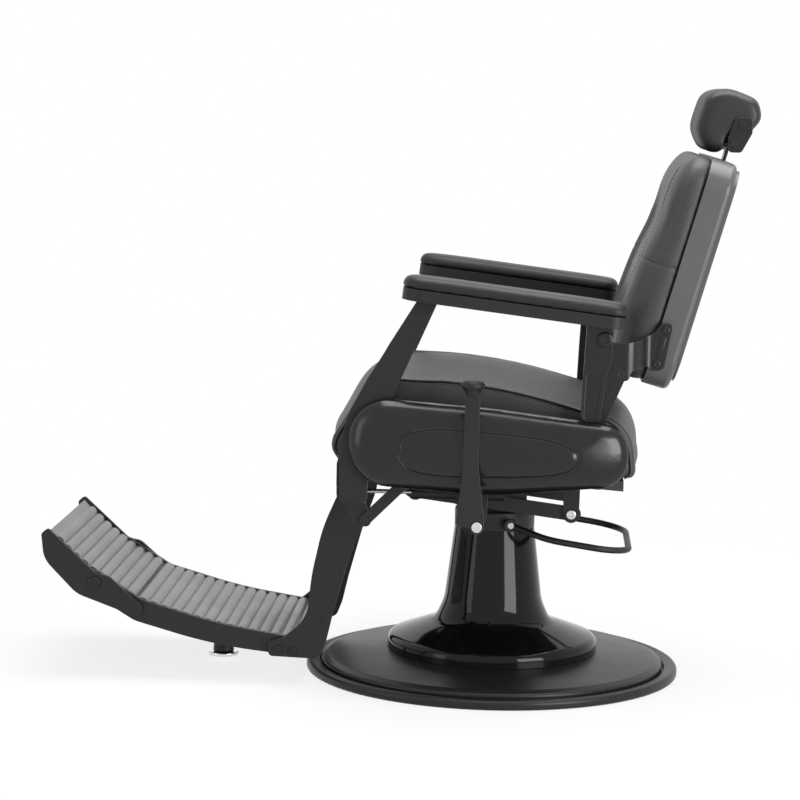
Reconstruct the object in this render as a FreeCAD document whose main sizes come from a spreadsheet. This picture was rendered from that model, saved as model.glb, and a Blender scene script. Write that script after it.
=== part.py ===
"""Reclining barber chair on a round hydraulic base.

Millimetres, +Z up, origin at the centre of the base on the floor. The sitter faces -Y and the
recline lever is on the sitter's left, +X. Side views are drawn as (Y, Z) pairs.
"""
import FreeCAD, Part
import math
import os
import Sketcher
from types import SimpleNamespace

V = FreeCAD.Vector
SIDES = (("left", 1), ("right", -1))

DIMENSIONS = {
    # Round base and column
    "base_radius": 350, "trim_width": 25, "trim_height": 20, "trim_lip": 6, "trim_lift": 1,
    "plate_inset": 12, "plate_thickness": 10, "trim_clearance": 0.2,
    "dome_inset": 28, "dome_shoulder_inset": 41, "dome_shoulder_z": 29, "dome_top_z": 54,
    "dome_bore": 85, "dome_wall": 4,
    "cover_flange_radius": 198, "cover_flange_height": 24, "cover_neck_radius": 92, "cover_neck_z": 135,
    "cover_root_radius": 108, "cover_root_z": 99, "cover_top_radius": 75, "cover_top_z": 276,
    "cover_wall": 3,
    # Hydraulic pump, ram and pedal
    "pump_radius": 55, "pump_bore": 40, "pump_floor": 12, "head_height": 36,
    "ram_radius": 22, "ram_foot_z": 60, "ram_fit": 0.05, "bush_length": 40,
    "collar_radius": 40, "collar_thickness": 6, "collar_gap": 4, "spigot_radius": 18, "spigot_length": 20,
    "bearing_height": 8, "bearing_radius": 38,
    "pedal_pivot_y": 32, "pedal_pivot_drop": 22, "pedal_shaft_radius": 6, "pedal_hub_radius": 12,
    "pedal_hub_length": 12, "pedal_hub_x": 90, "pedal_rod_radius": 6, "pedal_half_width": 150,
    "pedal_bend_y": 100, "pedal_end_y": 250, "pedal_drop": 37, "pedal_bend_drop": 15, "pedal_corner": 75,
    # Seat carrier under the seat
    "mount_length": 120, "mount_thickness": 12, "hub_radius": 42, "hub_drop": 3,
    "rail_x": 106, "rail_thickness": 8, "rail_height": 26, "rail_front_y": -165, "rail_rear_y": 160,
    "rail_centre_z": 336, "rail_tilt": 7, "ear_thickness": 6, "ear_width": 32, "ear_front_y": -145,
    "ear_rear_y": 142,
    "ear_bolt_radius": 6, "ear_head_radius": 9, "ear_head_height": 6,
    # Seat
    "seat_half_width": 256, "seat_base_z": 400.6, "seat_base_tilt": 4, "seat_base_thickness": 18,
    "seat_base_front_y": -262, "seat_base_rear_y": 232,
    "soft_clearance": 0.3, "seat_front_y": -305, "seat_rear_y": 261, "seat_top_front_z": 582,
    "seat_top_mid_z": 573,
    "seat_top_rear_z": 504, "seat_front_roll": 85, "seat_front_slope": 80, "seat_front_drop": 130,
    "seat_nose_z": 419, "seat_nose_slope": 26, "seat_rear_roll": 115, "seat_rear_slope": 10,
    "seat_crown": 6,
    "seat_side_gap": 2,
    # Flat layers beside the seat, from the side plate outwards
    "layer_gap": 1.5, "side_plate_thickness": 6, "crank_thickness": 7, "link_thickness": 5,
    "bracket_thickness": 9, "arm_frame_thickness": 12, "panel_board_thickness": 5,
    "side_panel_thickness": 44,
    "side_plate_rear_y": 198, "side_plate_height": 95, "side_plate_front_rise": 128, "side_plate_nose": 60,
    "spacer_radius": 11,
    # Arms
    "arm_front_y": -122, "arm_bottom_z": 720, "arm_tilt": 6.6, "arm_bar_top_width": 32, "arm_bar_width": 48,
    "arm_bar_foot_drop": 27,
    "post_y": 182, "post_width": 42, "post_waist_drop": 72, "post_foot_drop": 150, "post_foot_width": 34,
    "post_pocket_edge": 6, "post_pocket_depth": 3, "arm_offset": 18, "arm_width": 86, "arm_length": 396,
    "arm_overhang": 46,
    "arm_base_thickness": 21, "arm_pad_thickness": 22, "arm_front_radius": 38, "arm_rear_radius": 26,
    # Padded side panels
    "panel_front_y": -258, "panel_rear_y": 240, "panel_top_front_z": 555, "panel_top_rear_z": 510,
    "panel_bottom_front_z": 392, "panel_bottom_mid_z": 376, "panel_bottom_rear_z": 399,
    "panel_front_round": 76, "panel_rear_round": 54, "panel_inlay_margin": 92, "panel_inlay_height": 88,
    "panel_inlay_z": 455, "panel_inlay_depth": 2.5, "panel_board_inset": 10,
    # Recline linkage: back pivot, footrest pivot and the equal cranks of the parallelogram
    "back_pivot_y": 191, "back_pivot_z": 659, "leg_pivot_y": -257, "leg_pivot_z": 385,
    "crank_y": 31, "crank_z": -61, "link_width": 20, "link_knee": 66, "link_heel_y": 165,
    "link_heel_z": 462, "link_pin_radius": 6,
    "running_fit": 0.05, "open_pivot_clearance": 0.4, "pivot_bolt_radius": 9, "pivot_head_radius": 14,
    "pivot_head_height": 5, "tube_radius": 16, "eye_radius": 23,
    # Recline lock and lever
    "lock_x": 158.5, "lock_crank_length": 27, "lock_crank_lead": 14, "lock_pin_radius": 4,
    "lock_radius": 12, "lock_front_y": -150,
    "lock_rear_y": 20, "lock_rod_radius": 4, "lock_plate_thickness": 6, "lock_plate_width": 28,
    "lock_plate_height": 18, "lock_slot_clearance": 0.6, "lock_slot_travel": 1.5, "lock_clamp_y": -70,
    "lock_clamp_length": 25,
    "lever_y": -25, "lever_z": 331, "lever_gap": 2, "lever_thickness": 12, "lever_shaft_radius": 6,
    "lever_head_radius": 9, "lever_head_height": 5, "lever_top_z": 562, "lever_top_width": 26,
    "lever_lean": 12,
    "lever_foot_width": 42, "knob_radius": 22, "knob_height": 26, "hanger_inner_inset": 56,
    "hanger_outer_inset": 18,
    "hanger_thickness": 6, "hanger_width": 34,
    # Back, drawn upright and leaned back about its lower rear edge
    "back_lean": 15.75, "back_foot_y": 312, "back_foot_z": 560, "back_half_width": 245, "back_height": 419,
    "back_rise": 0, "back_panel_thickness": 6, "back_panel_rise": 8, "back_panel_inset": 10,
    "back_shell_depth": 48,
    "shell_wall": 6, "shell_corner": 55, "shell_edge": 10, "back_cushion_depth": 64, "back_side_gap": 1.5,
    "back_cushion_taper": 95, "back_recess_depth": 8,
    "back_recess_half_width": 140, "back_recess_low": 80, "back_recess_high": 330,
    "bracket_bend_y": 241, "bracket_flange_y": 268, "bracket_eye": 13, "bracket_tail_drop": 118,
    "bracket_boss": 12.5,
    "bracket_flange_width": 48, "screw_radius": 4, "screw_head_radius": 7, "screw_head_height": 4,
    "screw_upper_y": 299, "screw_upper_z": 674, "screw_lower_y": 284, "screw_lower_z": 614,
    # Headrest
    "post_half_width": 20, "post_thickness": 6, "post_buried": 200, "post_shown": 24.5, "post_fit": 0.3,
    "guide_wall": 5, "guide_length": 240, "head_half_width": 129, "yoke_thickness": 4, "yoke_gap": 0.5,
    "head_pivot_back": 14.7, "head_pivot_rise": 34, "yoke_bar_depth": 18,
    "yoke_bar_height": 18, "head_screw_radius": 4, "head_screw_head": 6.5,
    "head_screw_head_height": 3, "head_screw_depth": 20, "head_clearance": 4, "head_front_reach": 63.3,
    "head_top_rise": 100,
    "head_lip_reach": 52.7, "head_foot_drop": 16,
    # Footrest
    "leg_x": 187, "leg_thickness": 10, "footrest_rail_thickness": 10, "footrest_gap": 1,
    "tread_rear_y": -343, "tread_rear_z": 82, "tread_front_y": -650, "tread_front_z": 150, "tread_sag": 10,
    "tread_thickness": 4, "rib_height": 5, "main_ribs": 15, "footrest_rail_depth": 39,
    "footrest_rail_lip": 2,
    "flap_gap": 5, "flap_tip_y": -811, "flap_tip_z": 273, "flap_sag": 10, "flap_ribs": 9,
    "flap_strip": 0.08, "flap_bar_share": 0.76, "flap_bar_half": 0.065,
    "flap_pivot_y": -727, "flap_pivot_z": 179, "flap_nose": 21, "flap_plate_thickness": 7,
    "flap_plate_depth": 50,
    "flap_tail_y": -642, "flap_tail_z": 116, "flap_bolt_radius": 7, "flap_head_radius": 12,
    "flap_head_height": 5,
    "crossbar_y": -506, "crossbar_depth": 44, "crossbar_thickness": 8, "bumper_radius": 29,
    "bumper_thickness": 7,
    "bumper_z": 11, "stem_top_radius": 13, "stem_foot_radius": 20, "toe_length": 62, "toe_height": 34,
    "foot_bolt_radius": 5,
    "foot_head_radius": 8, "foot_head_height": 4,
}

DOC = FreeCAD.newDocument("barber_chair")
SHEET = DOC.addObject("Spreadsheet::Sheet", "dims")
for row, (alias, value) in enumerate(DIMENSIONS.items(), start=1):
    SHEET.set(f"A{row}", alias)
    SHEET.set(f"B{row}", str(value))
    SHEET.setAlias(f"B{row}", alias)
DOC.recompute()
D = SimpleNamespace(**{alias: float(SHEET.get(alias)) for alias in DIMENSIONS})
NODES = []


def keep(piece, label):
    """Name a finished sub-part and list it for export."""
    piece.Label = label
    NODES.append(piece)
    return piece


def bind(piece, **expressions):
    """Tie properties of a document object to the sheet; double underscores stand for dots."""
    for name, expression in expressions.items():
        piece.setExpression(name.replace("__", "."), expression)
    return piece


def rounded_outline(corners):
    """Closed outline as (start, middle, end) runs: straight sides joined by tangent arcs.

    Each corner is (a, b, radius). A radius is limited by the sides it joins.
    """
    count = len(corners)
    bends = []
    for index, (a, b, radius) in enumerate(corners):
        here = V(a, b, 0)
        before = V(*corners[index - 1][:2], 0) - here
        after = V(*corners[(index + 1) % count][:2], 0) - here
        half = before.getAngle(after) / 2
        reach = min(radius / math.tan(half), 0.49 * before.Length, 0.49 * after.Length)
        bisector = (before / before.Length + after / after.Length).normalize()
        limited = reach * math.tan(half)
        middle = here + bisector * (limited / math.sin(half) - limited)
        bends.append((here + before / before.Length * reach, middle, here + after / after.Length * reach))
    runs = []
    for index, (start, middle, end) in enumerate(bends):
        if (end - start).Length > 1e-6:
            runs.append((start, middle, end))
        runs.append((end, None, bends[(index + 1) % count][0]))
    return runs


def draw(sketch, corners):
    """Draw a closed rounded outline in a sketch and fix it there."""
    for start, middle, end in rounded_outline(corners):
        curve = Part.LineSegment(start, end) if middle is None else Part.Arc(start, middle, end)
        index = sketch.addGeometry(curve)
        sketch.addConstraint(Sketcher.Constraint("Block", index))


def draw_hole(sketch, place, radius):
    """Draw a round hole whose radius follows an expression in the sheet."""
    start_radius = 1
    index = sketch.addGeometry(Part.Circle(V(*place, 0), V(0, 0, 1), start_radius))
    sketch.addConstraint(Sketcher.Constraint("DistanceX", index, 3, place[0]))
    sketch.addConstraint(Sketcher.Constraint("DistanceY", index, 3, place[1]))
    constraint = sketch.addConstraint(Sketcher.Constraint("Radius", index, start_radius))
    sketch.setExpression(f"Constraints[{constraint}]", radius)


def new_body(name):
    return DOC.addObject("PartDesign::Body", name)


def new_sketch(body, role):
    """Empty sketch on one of the body's own origin planes."""
    sketch = body.newObject("Sketcher::SketchObject", f"{body.Name}_sketch")
    plane = next(feature for feature in body.Origin.OriginFeatures if feature.Role == role)
    sketch.AttachmentSupport = [(plane, "")]
    sketch.MapMode = "FlatFace"
    return sketch


def pad(body, role, corners, length, holes=(), symmetric=False):
    """Pad a rounded outline with round holes from one of the body's origin planes."""
    sketch = new_sketch(body, role)
    if corners:
        draw(sketch, corners)
    for place, radius in holes:
        draw_hole(sketch, place, radius)
    feature = body.newObject("PartDesign::Pad", f"{body.Name}_pad")
    feature.Profile = sketch
    feature.setExpression("Length", length)
    if symmetric:
        feature.SideType = "Symmetric"
    return feature


def sink(body, role, corners, start, length):
    """Pocket parallel to one of the body's origin planes, from a distance off it and on away from it."""
    pocket = body.newObject("PartDesign::Pocket", f"{body.Name}_pocket")
    sketch = new_sketch(body, role)
    draw(sketch, corners)
    sketch.AttachmentOffset = FreeCAD.Placement(V(0, 0, start), FreeCAD.Rotation())
    pocket.Profile = sketch
    pocket.Reversed = True
    pocket.setExpression("Length", length)


def turned(name, corners):
    """Piece turned about the Z axis from its (radius, height) outline."""
    body = new_body(name)
    sketch = new_sketch(body, "XZ_Plane")
    draw(sketch, corners)
    feature = body.newObject("PartDesign::Revolution", f"{name}_turn")
    feature.Profile = sketch
    feature.ReferenceAxis = (sketch, ["V_Axis"])
    feature.Angle = 360
    return body


def plate(name, corners, inner, thickness, sign=1, holes=()):
    """Flat plate across X whose face nearer the middle of the chair lies at the inner expression."""
    body = new_body(name)
    pad(body, "YZ_Plane", corners, thickness, holes)
    near = inner if sign > 0 else f"-({inner}) - ({thickness})"
    return bind(body, Placement__Base__x=near)


def plate_pair(label, corners, inner, thickness, holes=()):
    """The same plate on both sides of the chair, as one group."""
    plates = [plate(f"{label}_{side}", corners, inner, thickness, sign, holes) for side, sign in SIDES]
    return group(label, plates)


def group(label, pieces):
    """Several separate solids under one name."""
    compound = DOC.addObject("Part::Compound", label)
    compound.Links = pieces
    return keep(compound, label)


def pin(name, radius, inner, outer, place, sign=1):
    """Round pin along X between two expressions, at (Y, Z) on one side of the chair."""
    piece = DOC.addObject("Part::Cylinder", name)
    bind(piece, Radius=radius, Height=f"({outer}) - ({inner})")
    start = inner if sign > 0 else f"-({outer})"
    piece.Placement = FreeCAD.Placement(V(0, *place), FreeCAD.Rotation(V(0, 1, 0), 90))
    return bind(piece, Placement__Base__x=start)


def headed_pin(name, radius, head_radius, head_height, inner, outer, place, sign=1):
    """Bolt along X: a shank from inner to outer and a round head outside it."""
    shank = pin(f"{name}_shank", radius, inner, outer, place, sign)
    head = pin(f"{name}_head", head_radius, outer, f"{outer} + {head_height}", place, sign)
    bolt = DOC.addObject("Part::MultiFuse", name)
    bolt.Shapes = [shank, head]
    return bolt


def upright(label, radius, low, high, place=(0, 0)):
    """Plain round piece standing along Z."""
    piece = DOC.addObject("Part::Cylinder", label)
    bind(piece, Radius=radius, Height=f"({high}) - ({low})")
    piece.Placement.Base = V(*place, 0)
    bind(piece, Placement__Base__z=low)
    return keep(piece, label)


def loft(sections, to_space):
    """Solid skinned through rounded outlines; to_space turns (a, b, level) into a point."""
    wires = []
    for level, corners in sections:
        edges = []
        for start, middle, end in rounded_outline(corners):
            points = [to_space(p.x, p.y, level) for p in (start, middle, end) if p is not None]
            curve = Part.LineSegment if middle is None else Part.Arc
            edges.append(curve(*points).toShape())
        wires.append(Part.Wire(edges))
    return Part.makeLoft(wires, True, False)


def soft(label, shape, placement=FreeCAD.Placement()):
    """Padded piece whose crowned form is skinned in code."""
    piece = DOC.addObject("Part::Feature", label)
    piece.Shape = shape
    piece.Placement = placement
    return keep(piece, label)


def across(a, b, level):
    """Sections stacked along X, drawn as (Y, Z)."""
    return V(level, a, b)


def upward(a, b, level):
    """Sections stacked along Z, drawn as (X, Y)."""
    return V(a, b, level)


def forward(a, b, level):
    """Sections stacked towards the front, drawn as (X, Z)."""
    return V(a, -level, b)


def box_corners(low_a, low_b, high_a, high_b, radius=0):
    """Rounded rectangle between two corners."""
    return [(low_a, low_b, radius), (high_a, low_b, radius), (high_a, high_b, radius),
            (low_a, high_b, radius)]


def inset(corners, amount):
    """Draw an outline in by about the same amount all round, towards its middle."""
    low_a, high_a = min(c[0] for c in corners), max(c[0] for c in corners)
    low_b, high_b = min(c[1] for c in corners), max(c[1] for c in corners)
    middle_a, middle_b = (low_a + high_a) / 2, (low_b + high_b) / 2
    scale_a = 1 - 2 * amount / (high_a - low_a)
    scale_b = 1 - 2 * amount / (high_b - low_b)
    shrink = min(scale_a, scale_b)
    return [(middle_a + (a - middle_a) * scale_a, middle_b + (b - middle_b) * scale_b, radius * shrink)
            for a, b, radius in corners]


# Flat layers beside the seat: each layer's inner face as an expression and as a number
LAYER = {}
INNER_FACE = {}
face = "dims.seat_half_width"
face_x = D.seat_half_width
for layer, gap in (("side_plate", "layer_gap"), ("crank", "layer_gap"), ("link", "layer_gap"),
                   ("bracket", "layer_gap"), ("arm_frame", None), ("panel_board", None),
                   ("side_panel", None)):
    LAYER[layer] = face
    INNER_FACE[layer] = face_x
    face = f"{face} + dims.{layer}_thickness"
    face_x += vars(D)[f"{layer}_thickness"]
    if gap:
        face = f"{face} + dims.{gap}"
        face_x += vars(D)[gap]


def outer_face(name):
    return f"{LAYER[name]} + dims.{name}_thickness"


BACK_PIVOT = (D.back_pivot_y, D.back_pivot_z)
LEG_PIVOT = (D.leg_pivot_y, D.leg_pivot_z)
BACK_PIN = (D.back_pivot_y + D.crank_y, D.back_pivot_z + D.crank_z)
LEG_PIN = (D.leg_pivot_y + D.crank_y, D.leg_pivot_z + D.crank_z)
FLAP_PIVOT = (D.flap_pivot_y, D.flap_pivot_z)
LEVER_PIVOT = (D.lever_y, D.lever_z)


def base_underside(y):
    """Height of the seat board's underside, which falls towards the back."""
    return D.seat_base_z - math.tan(math.radians(D.seat_base_tilt)) * y


def arm_underside(y):
    """Height of the armrest's underside, which falls towards the back."""
    return D.arm_bottom_z - math.tan(math.radians(D.arm_tilt)) * (y - D.arm_front_y)


def rail_line(y):
    """Height of the carrier rails' centre line."""
    return D.rail_centre_z - math.tan(math.radians(D.rail_tilt)) * y


HEAD_TOP = D.cover_top_z + D.head_height
COLLAR_Z = HEAD_TOP + D.collar_gap
BEARING_Z = COLLAR_Z + D.collar_thickness
HUB_Z = BEARING_Z + D.bearing_height
PEDAL_Z = HEAD_TOP - D.pedal_pivot_drop


PLATE_RADIUS = D.base_radius - D.plate_inset
DOME_RADIUS = D.base_radius - D.dome_inset
SHOULDER_RADIUS = D.base_radius - D.dome_shoulder_inset


def make_base():
    """Floor plate, its rolled trim and the low dome that carries the column cover."""
    upright("base_plate", "dims.base_radius - dims.plate_inset", "0", "dims.plate_thickness")
    bore = PLATE_RADIUS + D.trim_clearance
    lip = D.base_radius - D.trim_width
    keep(turned("base_trim_ring", [
        (bore, D.trim_lift, 0), (D.base_radius, D.trim_lift, 4), (D.base_radius, D.trim_height, 9),
        (lip, D.plate_thickness + D.trim_lip, 3), (lip, D.plate_thickness, 0), (bore, D.plate_thickness, 0),
    ]), "base_trim_ring")
    floor, wall, shoulder = D.plate_thickness, D.dome_wall, SHOULDER_RADIUS
    keep(turned("base_dome", [
        (DOME_RADIUS, floor, 0), (DOME_RADIUS, D.dome_shoulder_z - 6, 6), (shoulder, D.dome_shoulder_z, 10),
        (D.dome_bore, D.dome_top_z, 0), (D.dome_bore, D.dome_top_z - wall, 0),
        (shoulder - wall, D.dome_shoulder_z - wall, 8),
        (DOME_RADIUS - wall, D.dome_shoulder_z - 6 - wall, 4),
        (DOME_RADIUS - wall, floor, 0),
    ]), "base_dome")


def dome_height(radius):
    """Height of the dome's upper face at a radius."""
    share = (SHOULDER_RADIUS - radius) / (SHOULDER_RADIUS - D.dome_bore)
    return D.dome_shoulder_z + share * (D.dome_top_z - D.dome_shoulder_z)


def make_column():
    """Trumpet-shaped cover over the pump, and the pump with its head and guide bush."""
    foot = dome_height(D.cover_flange_radius - D.cover_wall) + D.soft_clearance
    rim = foot + D.cover_flange_height
    outside = [(D.cover_flange_radius, foot, 0), (D.cover_flange_radius, rim, 18),
               (D.cover_root_radius, D.cover_root_z, 26), (D.cover_neck_radius, D.cover_neck_z, 90),
               (D.cover_top_radius, D.cover_top_z, 0)]
    wall = D.cover_wall
    inside = [(radius - wall, z, bend) if z in (foot, D.cover_top_z) else (radius - wall, z - wall, bend)
              for radius, z, bend in reversed(outside)]
    keep(turned("column_cover", outside + inside), "column_cover")
    bush = D.pump_bore
    floor = D.plate_thickness
    keep(turned("pump_cylinder", [
        (0, floor, 0), (D.dome_bore - D.dome_wall, floor, 0),
        (D.dome_bore - D.dome_wall, floor + D.pump_floor, 3),
        (D.pump_radius, floor + D.pump_floor, 0), (D.pump_radius, D.cover_top_z, 0),
        (bush, D.cover_top_z, 0),
        (bush, floor + D.pump_floor, 0), (0, floor + D.pump_floor, 0),
    ]), "pump_cylinder")
    bore = D.ram_radius + D.ram_fit
    keep(turned("ram_bush", [
        (bore, D.cover_top_z - D.bush_length, 0), (bush, D.cover_top_z - D.bush_length, 0),
        (bush, D.cover_top_z, 0), (bore, D.cover_top_z, 0),
    ]), "ram_bush")
    head = turned("pump_head_casting", [
        (bore, D.cover_top_z, 0), (D.cover_top_radius, D.cover_top_z, 0), (D.cover_top_radius, HEAD_TOP, 6),
        (bore, HEAD_TOP, 0),
    ])
    hole = pin("pump_head_hole", "dims.pedal_shaft_radius + dims.running_fit", "-dims.base_radius",
               "dims.base_radius",
               (D.pedal_pivot_y, PEDAL_Z))
    cut = DOC.addObject("Part::Cut", "pump_head")
    cut.Base = head
    cut.Tool = hole
    keep(cut, "pump_head")


def rounded_path(points, radius):
    """Wire of straight runs joined by tangent arcs."""
    edges = []
    start = points[0]
    for before, here, after in zip(points, points[1:], points[2:]):
        back, ahead = before - here, after - here
        half = back.getAngle(ahead) / 2
        reach = min(radius / math.tan(half), 0.45 * back.Length, 0.45 * ahead.Length)
        bisector = (back / back.Length + ahead / ahead.Length).normalize()
        limited = reach * math.tan(half)
        tangent_in = here + back / back.Length * reach
        tangent_out = here + ahead / ahead.Length * reach
        edges.append(Part.LineSegment(start, tangent_in).toShape())
        middle = here + bisector * (limited / math.sin(half) - limited)
        edges.append(Part.Arc(tangent_in, middle, tangent_out).toShape())
        start = tangent_out
    edges.append(Part.LineSegment(start, points[-1]).toShape())
    return Part.Wire(edges)


def make_pedal():
    """Bent rod loop that pumps the chair up, on a cross shaft through the pump head."""
    place = (D.pedal_pivot_y, PEDAL_Z)
    half_hub = "dims.pedal_hub_length / 2"
    outer = f"dims.pedal_hub_x + {half_hub}"
    keep(pin("pedal_shaft", "dims.pedal_shaft_radius", f"-({outer})", outer, place), "pedal_shaft")
    half = [V(D.pedal_hub_x, *place), V(D.pedal_half_width, D.pedal_bend_y, PEDAL_Z - D.pedal_bend_drop),
            V(D.pedal_half_width, D.pedal_end_y, PEDAL_Z - D.pedal_drop)]
    path = rounded_path(half + [V(-p.x, p.y, p.z) for p in reversed(half)], D.pedal_corner)
    section = Part.Wire(Part.Circle(half[0], half[1] - half[0], D.pedal_rod_radius).toShape())
    loop = path.makePipeShell([section], True, False)
    bore = Part.makeCylinder(D.pedal_shaft_radius + D.running_fit, 2 * D.base_radius,
                             V(-D.base_radius, *place), V(1, 0, 0))
    for _, sign in SIDES:
        start = sign * D.pedal_hub_x - D.pedal_hub_length / 2
        loop = loop.fuse(Part.makeCylinder(D.pedal_hub_radius, D.pedal_hub_length, V(start, *place),
                                           V(1, 0, 0)))
    pedal = DOC.addObject("Part::Feature", "pump_pedal")
    pedal.Shape = loop.cut(bore).removeSplitter()
    keep(pedal, "pump_pedal")


def make_lift():
    """Ram that rises out of the pump, with the thrust bearing that the seat turns on."""
    keep(turned("pump_ram", [
        (0, D.ram_foot_z, 0), (D.ram_radius, D.ram_foot_z, 2), (D.ram_radius, COLLAR_Z, 0),
        (D.collar_radius, COLLAR_Z, 1),
        (D.collar_radius, BEARING_Z, 1), (D.spigot_radius, BEARING_Z, 0),
        (D.spigot_radius, HUB_Z + D.spigot_length - D.bearing_height, 1),
        (0, HUB_Z + D.spigot_length - D.bearing_height, 0),
    ]), "pump_ram")
    keep(turned("thrust_bearing", [
        (D.spigot_radius + D.running_fit, BEARING_Z, 0), (D.bearing_radius, BEARING_Z, 1.5),
        (D.bearing_radius, HUB_Z, 1.5),
        (D.spigot_radius + D.running_fit, HUB_Z, 0),
    ]), "thrust_bearing")


def make_carrier():
    """Turntable plate on the ram, its two sloping rails, and the ears bolted to the seat board."""
    body = new_body("seat_mount_plate")
    bore = "dims.spigot_radius + dims.running_fit"
    half_length = D.mount_length / 2
    plate_corners = box_corners(-D.rail_x, -half_length, D.rail_x, half_length)
    top = pad(body, "XY_Plane", plate_corners, "dims.mount_thickness", [((0, 0), bore)])
    hub = pad(body, "XY_Plane", [], "dims.hub_drop", [((0, 0), "dims.hub_radius"), ((0, 0), bore)])
    hub.Reversed = True
    top.Refine = True
    body.Placement.Base = V(0, 0, HUB_Z + D.hub_drop)
    keep(body, "seat_mount_plate")
    ends = (D.rail_front_y, D.rail_rear_y)
    half = D.rail_height / 2
    corners = [(ends[0], rail_line(ends[0]) - half, 12), (ends[1], rail_line(ends[1]) - half, 12),
               (ends[1], rail_line(ends[1]) + half, 12), (ends[0], rail_line(ends[0]) + half, 12)]
    bolts = [(y, rail_line(y)) for y in (D.ear_front_y, D.ear_rear_y)]
    holes = [(place, "dims.ear_bolt_radius + dims.running_fit") for place in bolts]
    plate_pair("carrier_rails", corners, "dims.rail_x", "dims.rail_thickness", holes)
    ears, screws = [], []
    rail_outer = "dims.rail_x + dims.rail_thickness"
    for index, (y, z) in enumerate(bolts):
        reach = D.ear_width / 2
        corners = [(y - reach, base_underside(y - reach), 0), (y - reach + 2, z - reach, 14),
                   (y + reach - 2, z - reach, 14), (y + reach, base_underside(y + reach), 0)]
        for side, sign in SIDES:
            ears.append(plate(f"seat_ear_{side}_{index}", corners, rail_outer, "dims.ear_thickness", sign,
                              [((y, z), "dims.ear_bolt_radius + dims.running_fit")]))
            screws.append(headed_pin(f"ear_bolt_{side}_{index}", "dims.ear_bolt_radius",
                                     "dims.ear_head_radius",
                                     "dims.ear_head_height", "dims.rail_x",
                                     f"{rail_outer} + dims.ear_thickness",
                                     (y, z), sign))
    group("seat_ears", ears)
    group("ear_bolts", screws)


def make_seat():
    """Plywood seat board and the upholstered cushion with its big front roll."""
    ends = (D.seat_base_front_y, D.seat_base_rear_y)
    thickness = D.seat_base_thickness
    corners = [(ends[0], base_underside(ends[0]), 0), (ends[1], base_underside(ends[1]), 0),
               (ends[1], base_underside(ends[1]) + thickness, 0),
               (ends[0], base_underside(ends[0]) + thickness, 0)]
    board = new_body("seat_base")
    pad(board, "YZ_Plane", corners, "2 * dims.seat_half_width", symmetric=True)
    keep(board, "seat_base")
    half = D.seat_half_width - D.seat_side_gap

    def profile(draw_in, crown=0.0):
        front, rear = D.seat_front_y + draw_in, D.seat_rear_y - draw_in
        low = thickness + D.soft_clearance
        drop = draw_in - crown
        lap = ends[0] - D.soft_clearance
        return [(D.seat_front_y + D.seat_nose_slope, D.seat_nose_z, 20), (lap, D.seat_nose_z, 4),
                (lap, base_underside(lap) + low, 0), (rear, base_underside(rear) + low, 14),
                (rear - D.seat_rear_slope, D.seat_top_rear_z - drop, D.seat_rear_roll - draw_in),
                (0, D.seat_top_mid_z - drop, 900),
                (front + D.seat_front_slope, D.seat_top_front_z - drop, D.seat_front_roll - draw_in),
                (front, D.seat_top_front_z - D.seat_front_drop, D.seat_front_roll - draw_in)]

    steps = [(half, 18), (half - 7, 7), (half - 26, 1), (half / 2, 0), (0, 0)]
    stations = [(-x, amount) for x, amount in steps] + [(x, amount) for x, amount in reversed(steps[:-1])]
    sections = [(x, profile(amount, D.seat_crown * (1 - (x / half) ** 2))) for x, amount in stations]
    soft("seat_cushion", loft(sections, across))


def make_side_frames():
    """Steel side plates of the seat, with the spacers that carry the arm frames."""
    y, z = LEG_PIVOT
    eye, rise = D.eye_radius, D.side_plate_front_rise
    rear = D.side_plate_rear_y
    top = base_underside(rear) + D.side_plate_height
    corners = [(y - eye, z - eye, eye), (y + eye, z - eye, eye),
               (y + 2 * eye, base_underside(y + 2 * eye), 20),
               (rear, base_underside(rear), 10), (rear, top, 20), (y + D.side_plate_nose, z + rise, 20),
               (y + 0.1 * D.side_plate_nose, z + rise, 20), (y - eye, z + 0.3 * rise, 25)]
    holes = [(LEG_PIVOT, "dims.tube_radius + dims.running_fit")]
    plate_pair("seat_side_plates", corners, LAYER["side_plate"], "dims.side_plate_thickness", holes)
    front = [(y + 0.5 * eye, z + 0.36 * rise), (y + 1.1 * eye, z + 0.83 * rise)]
    post = [(D.post_y + 2, base_underside(D.post_y) + 28), (D.post_y - 30, base_underside(D.post_y) + 28)]
    spacers = []
    for side, sign in SIDES:
        for index, place in enumerate(front + post):
            spacers.append(pin(f"spacer_{side}_{index}", "dims.spacer_radius", outer_face("side_plate"),
                               LAYER["arm_frame"], place, sign))
    group("frame_spacers", spacers)


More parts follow.
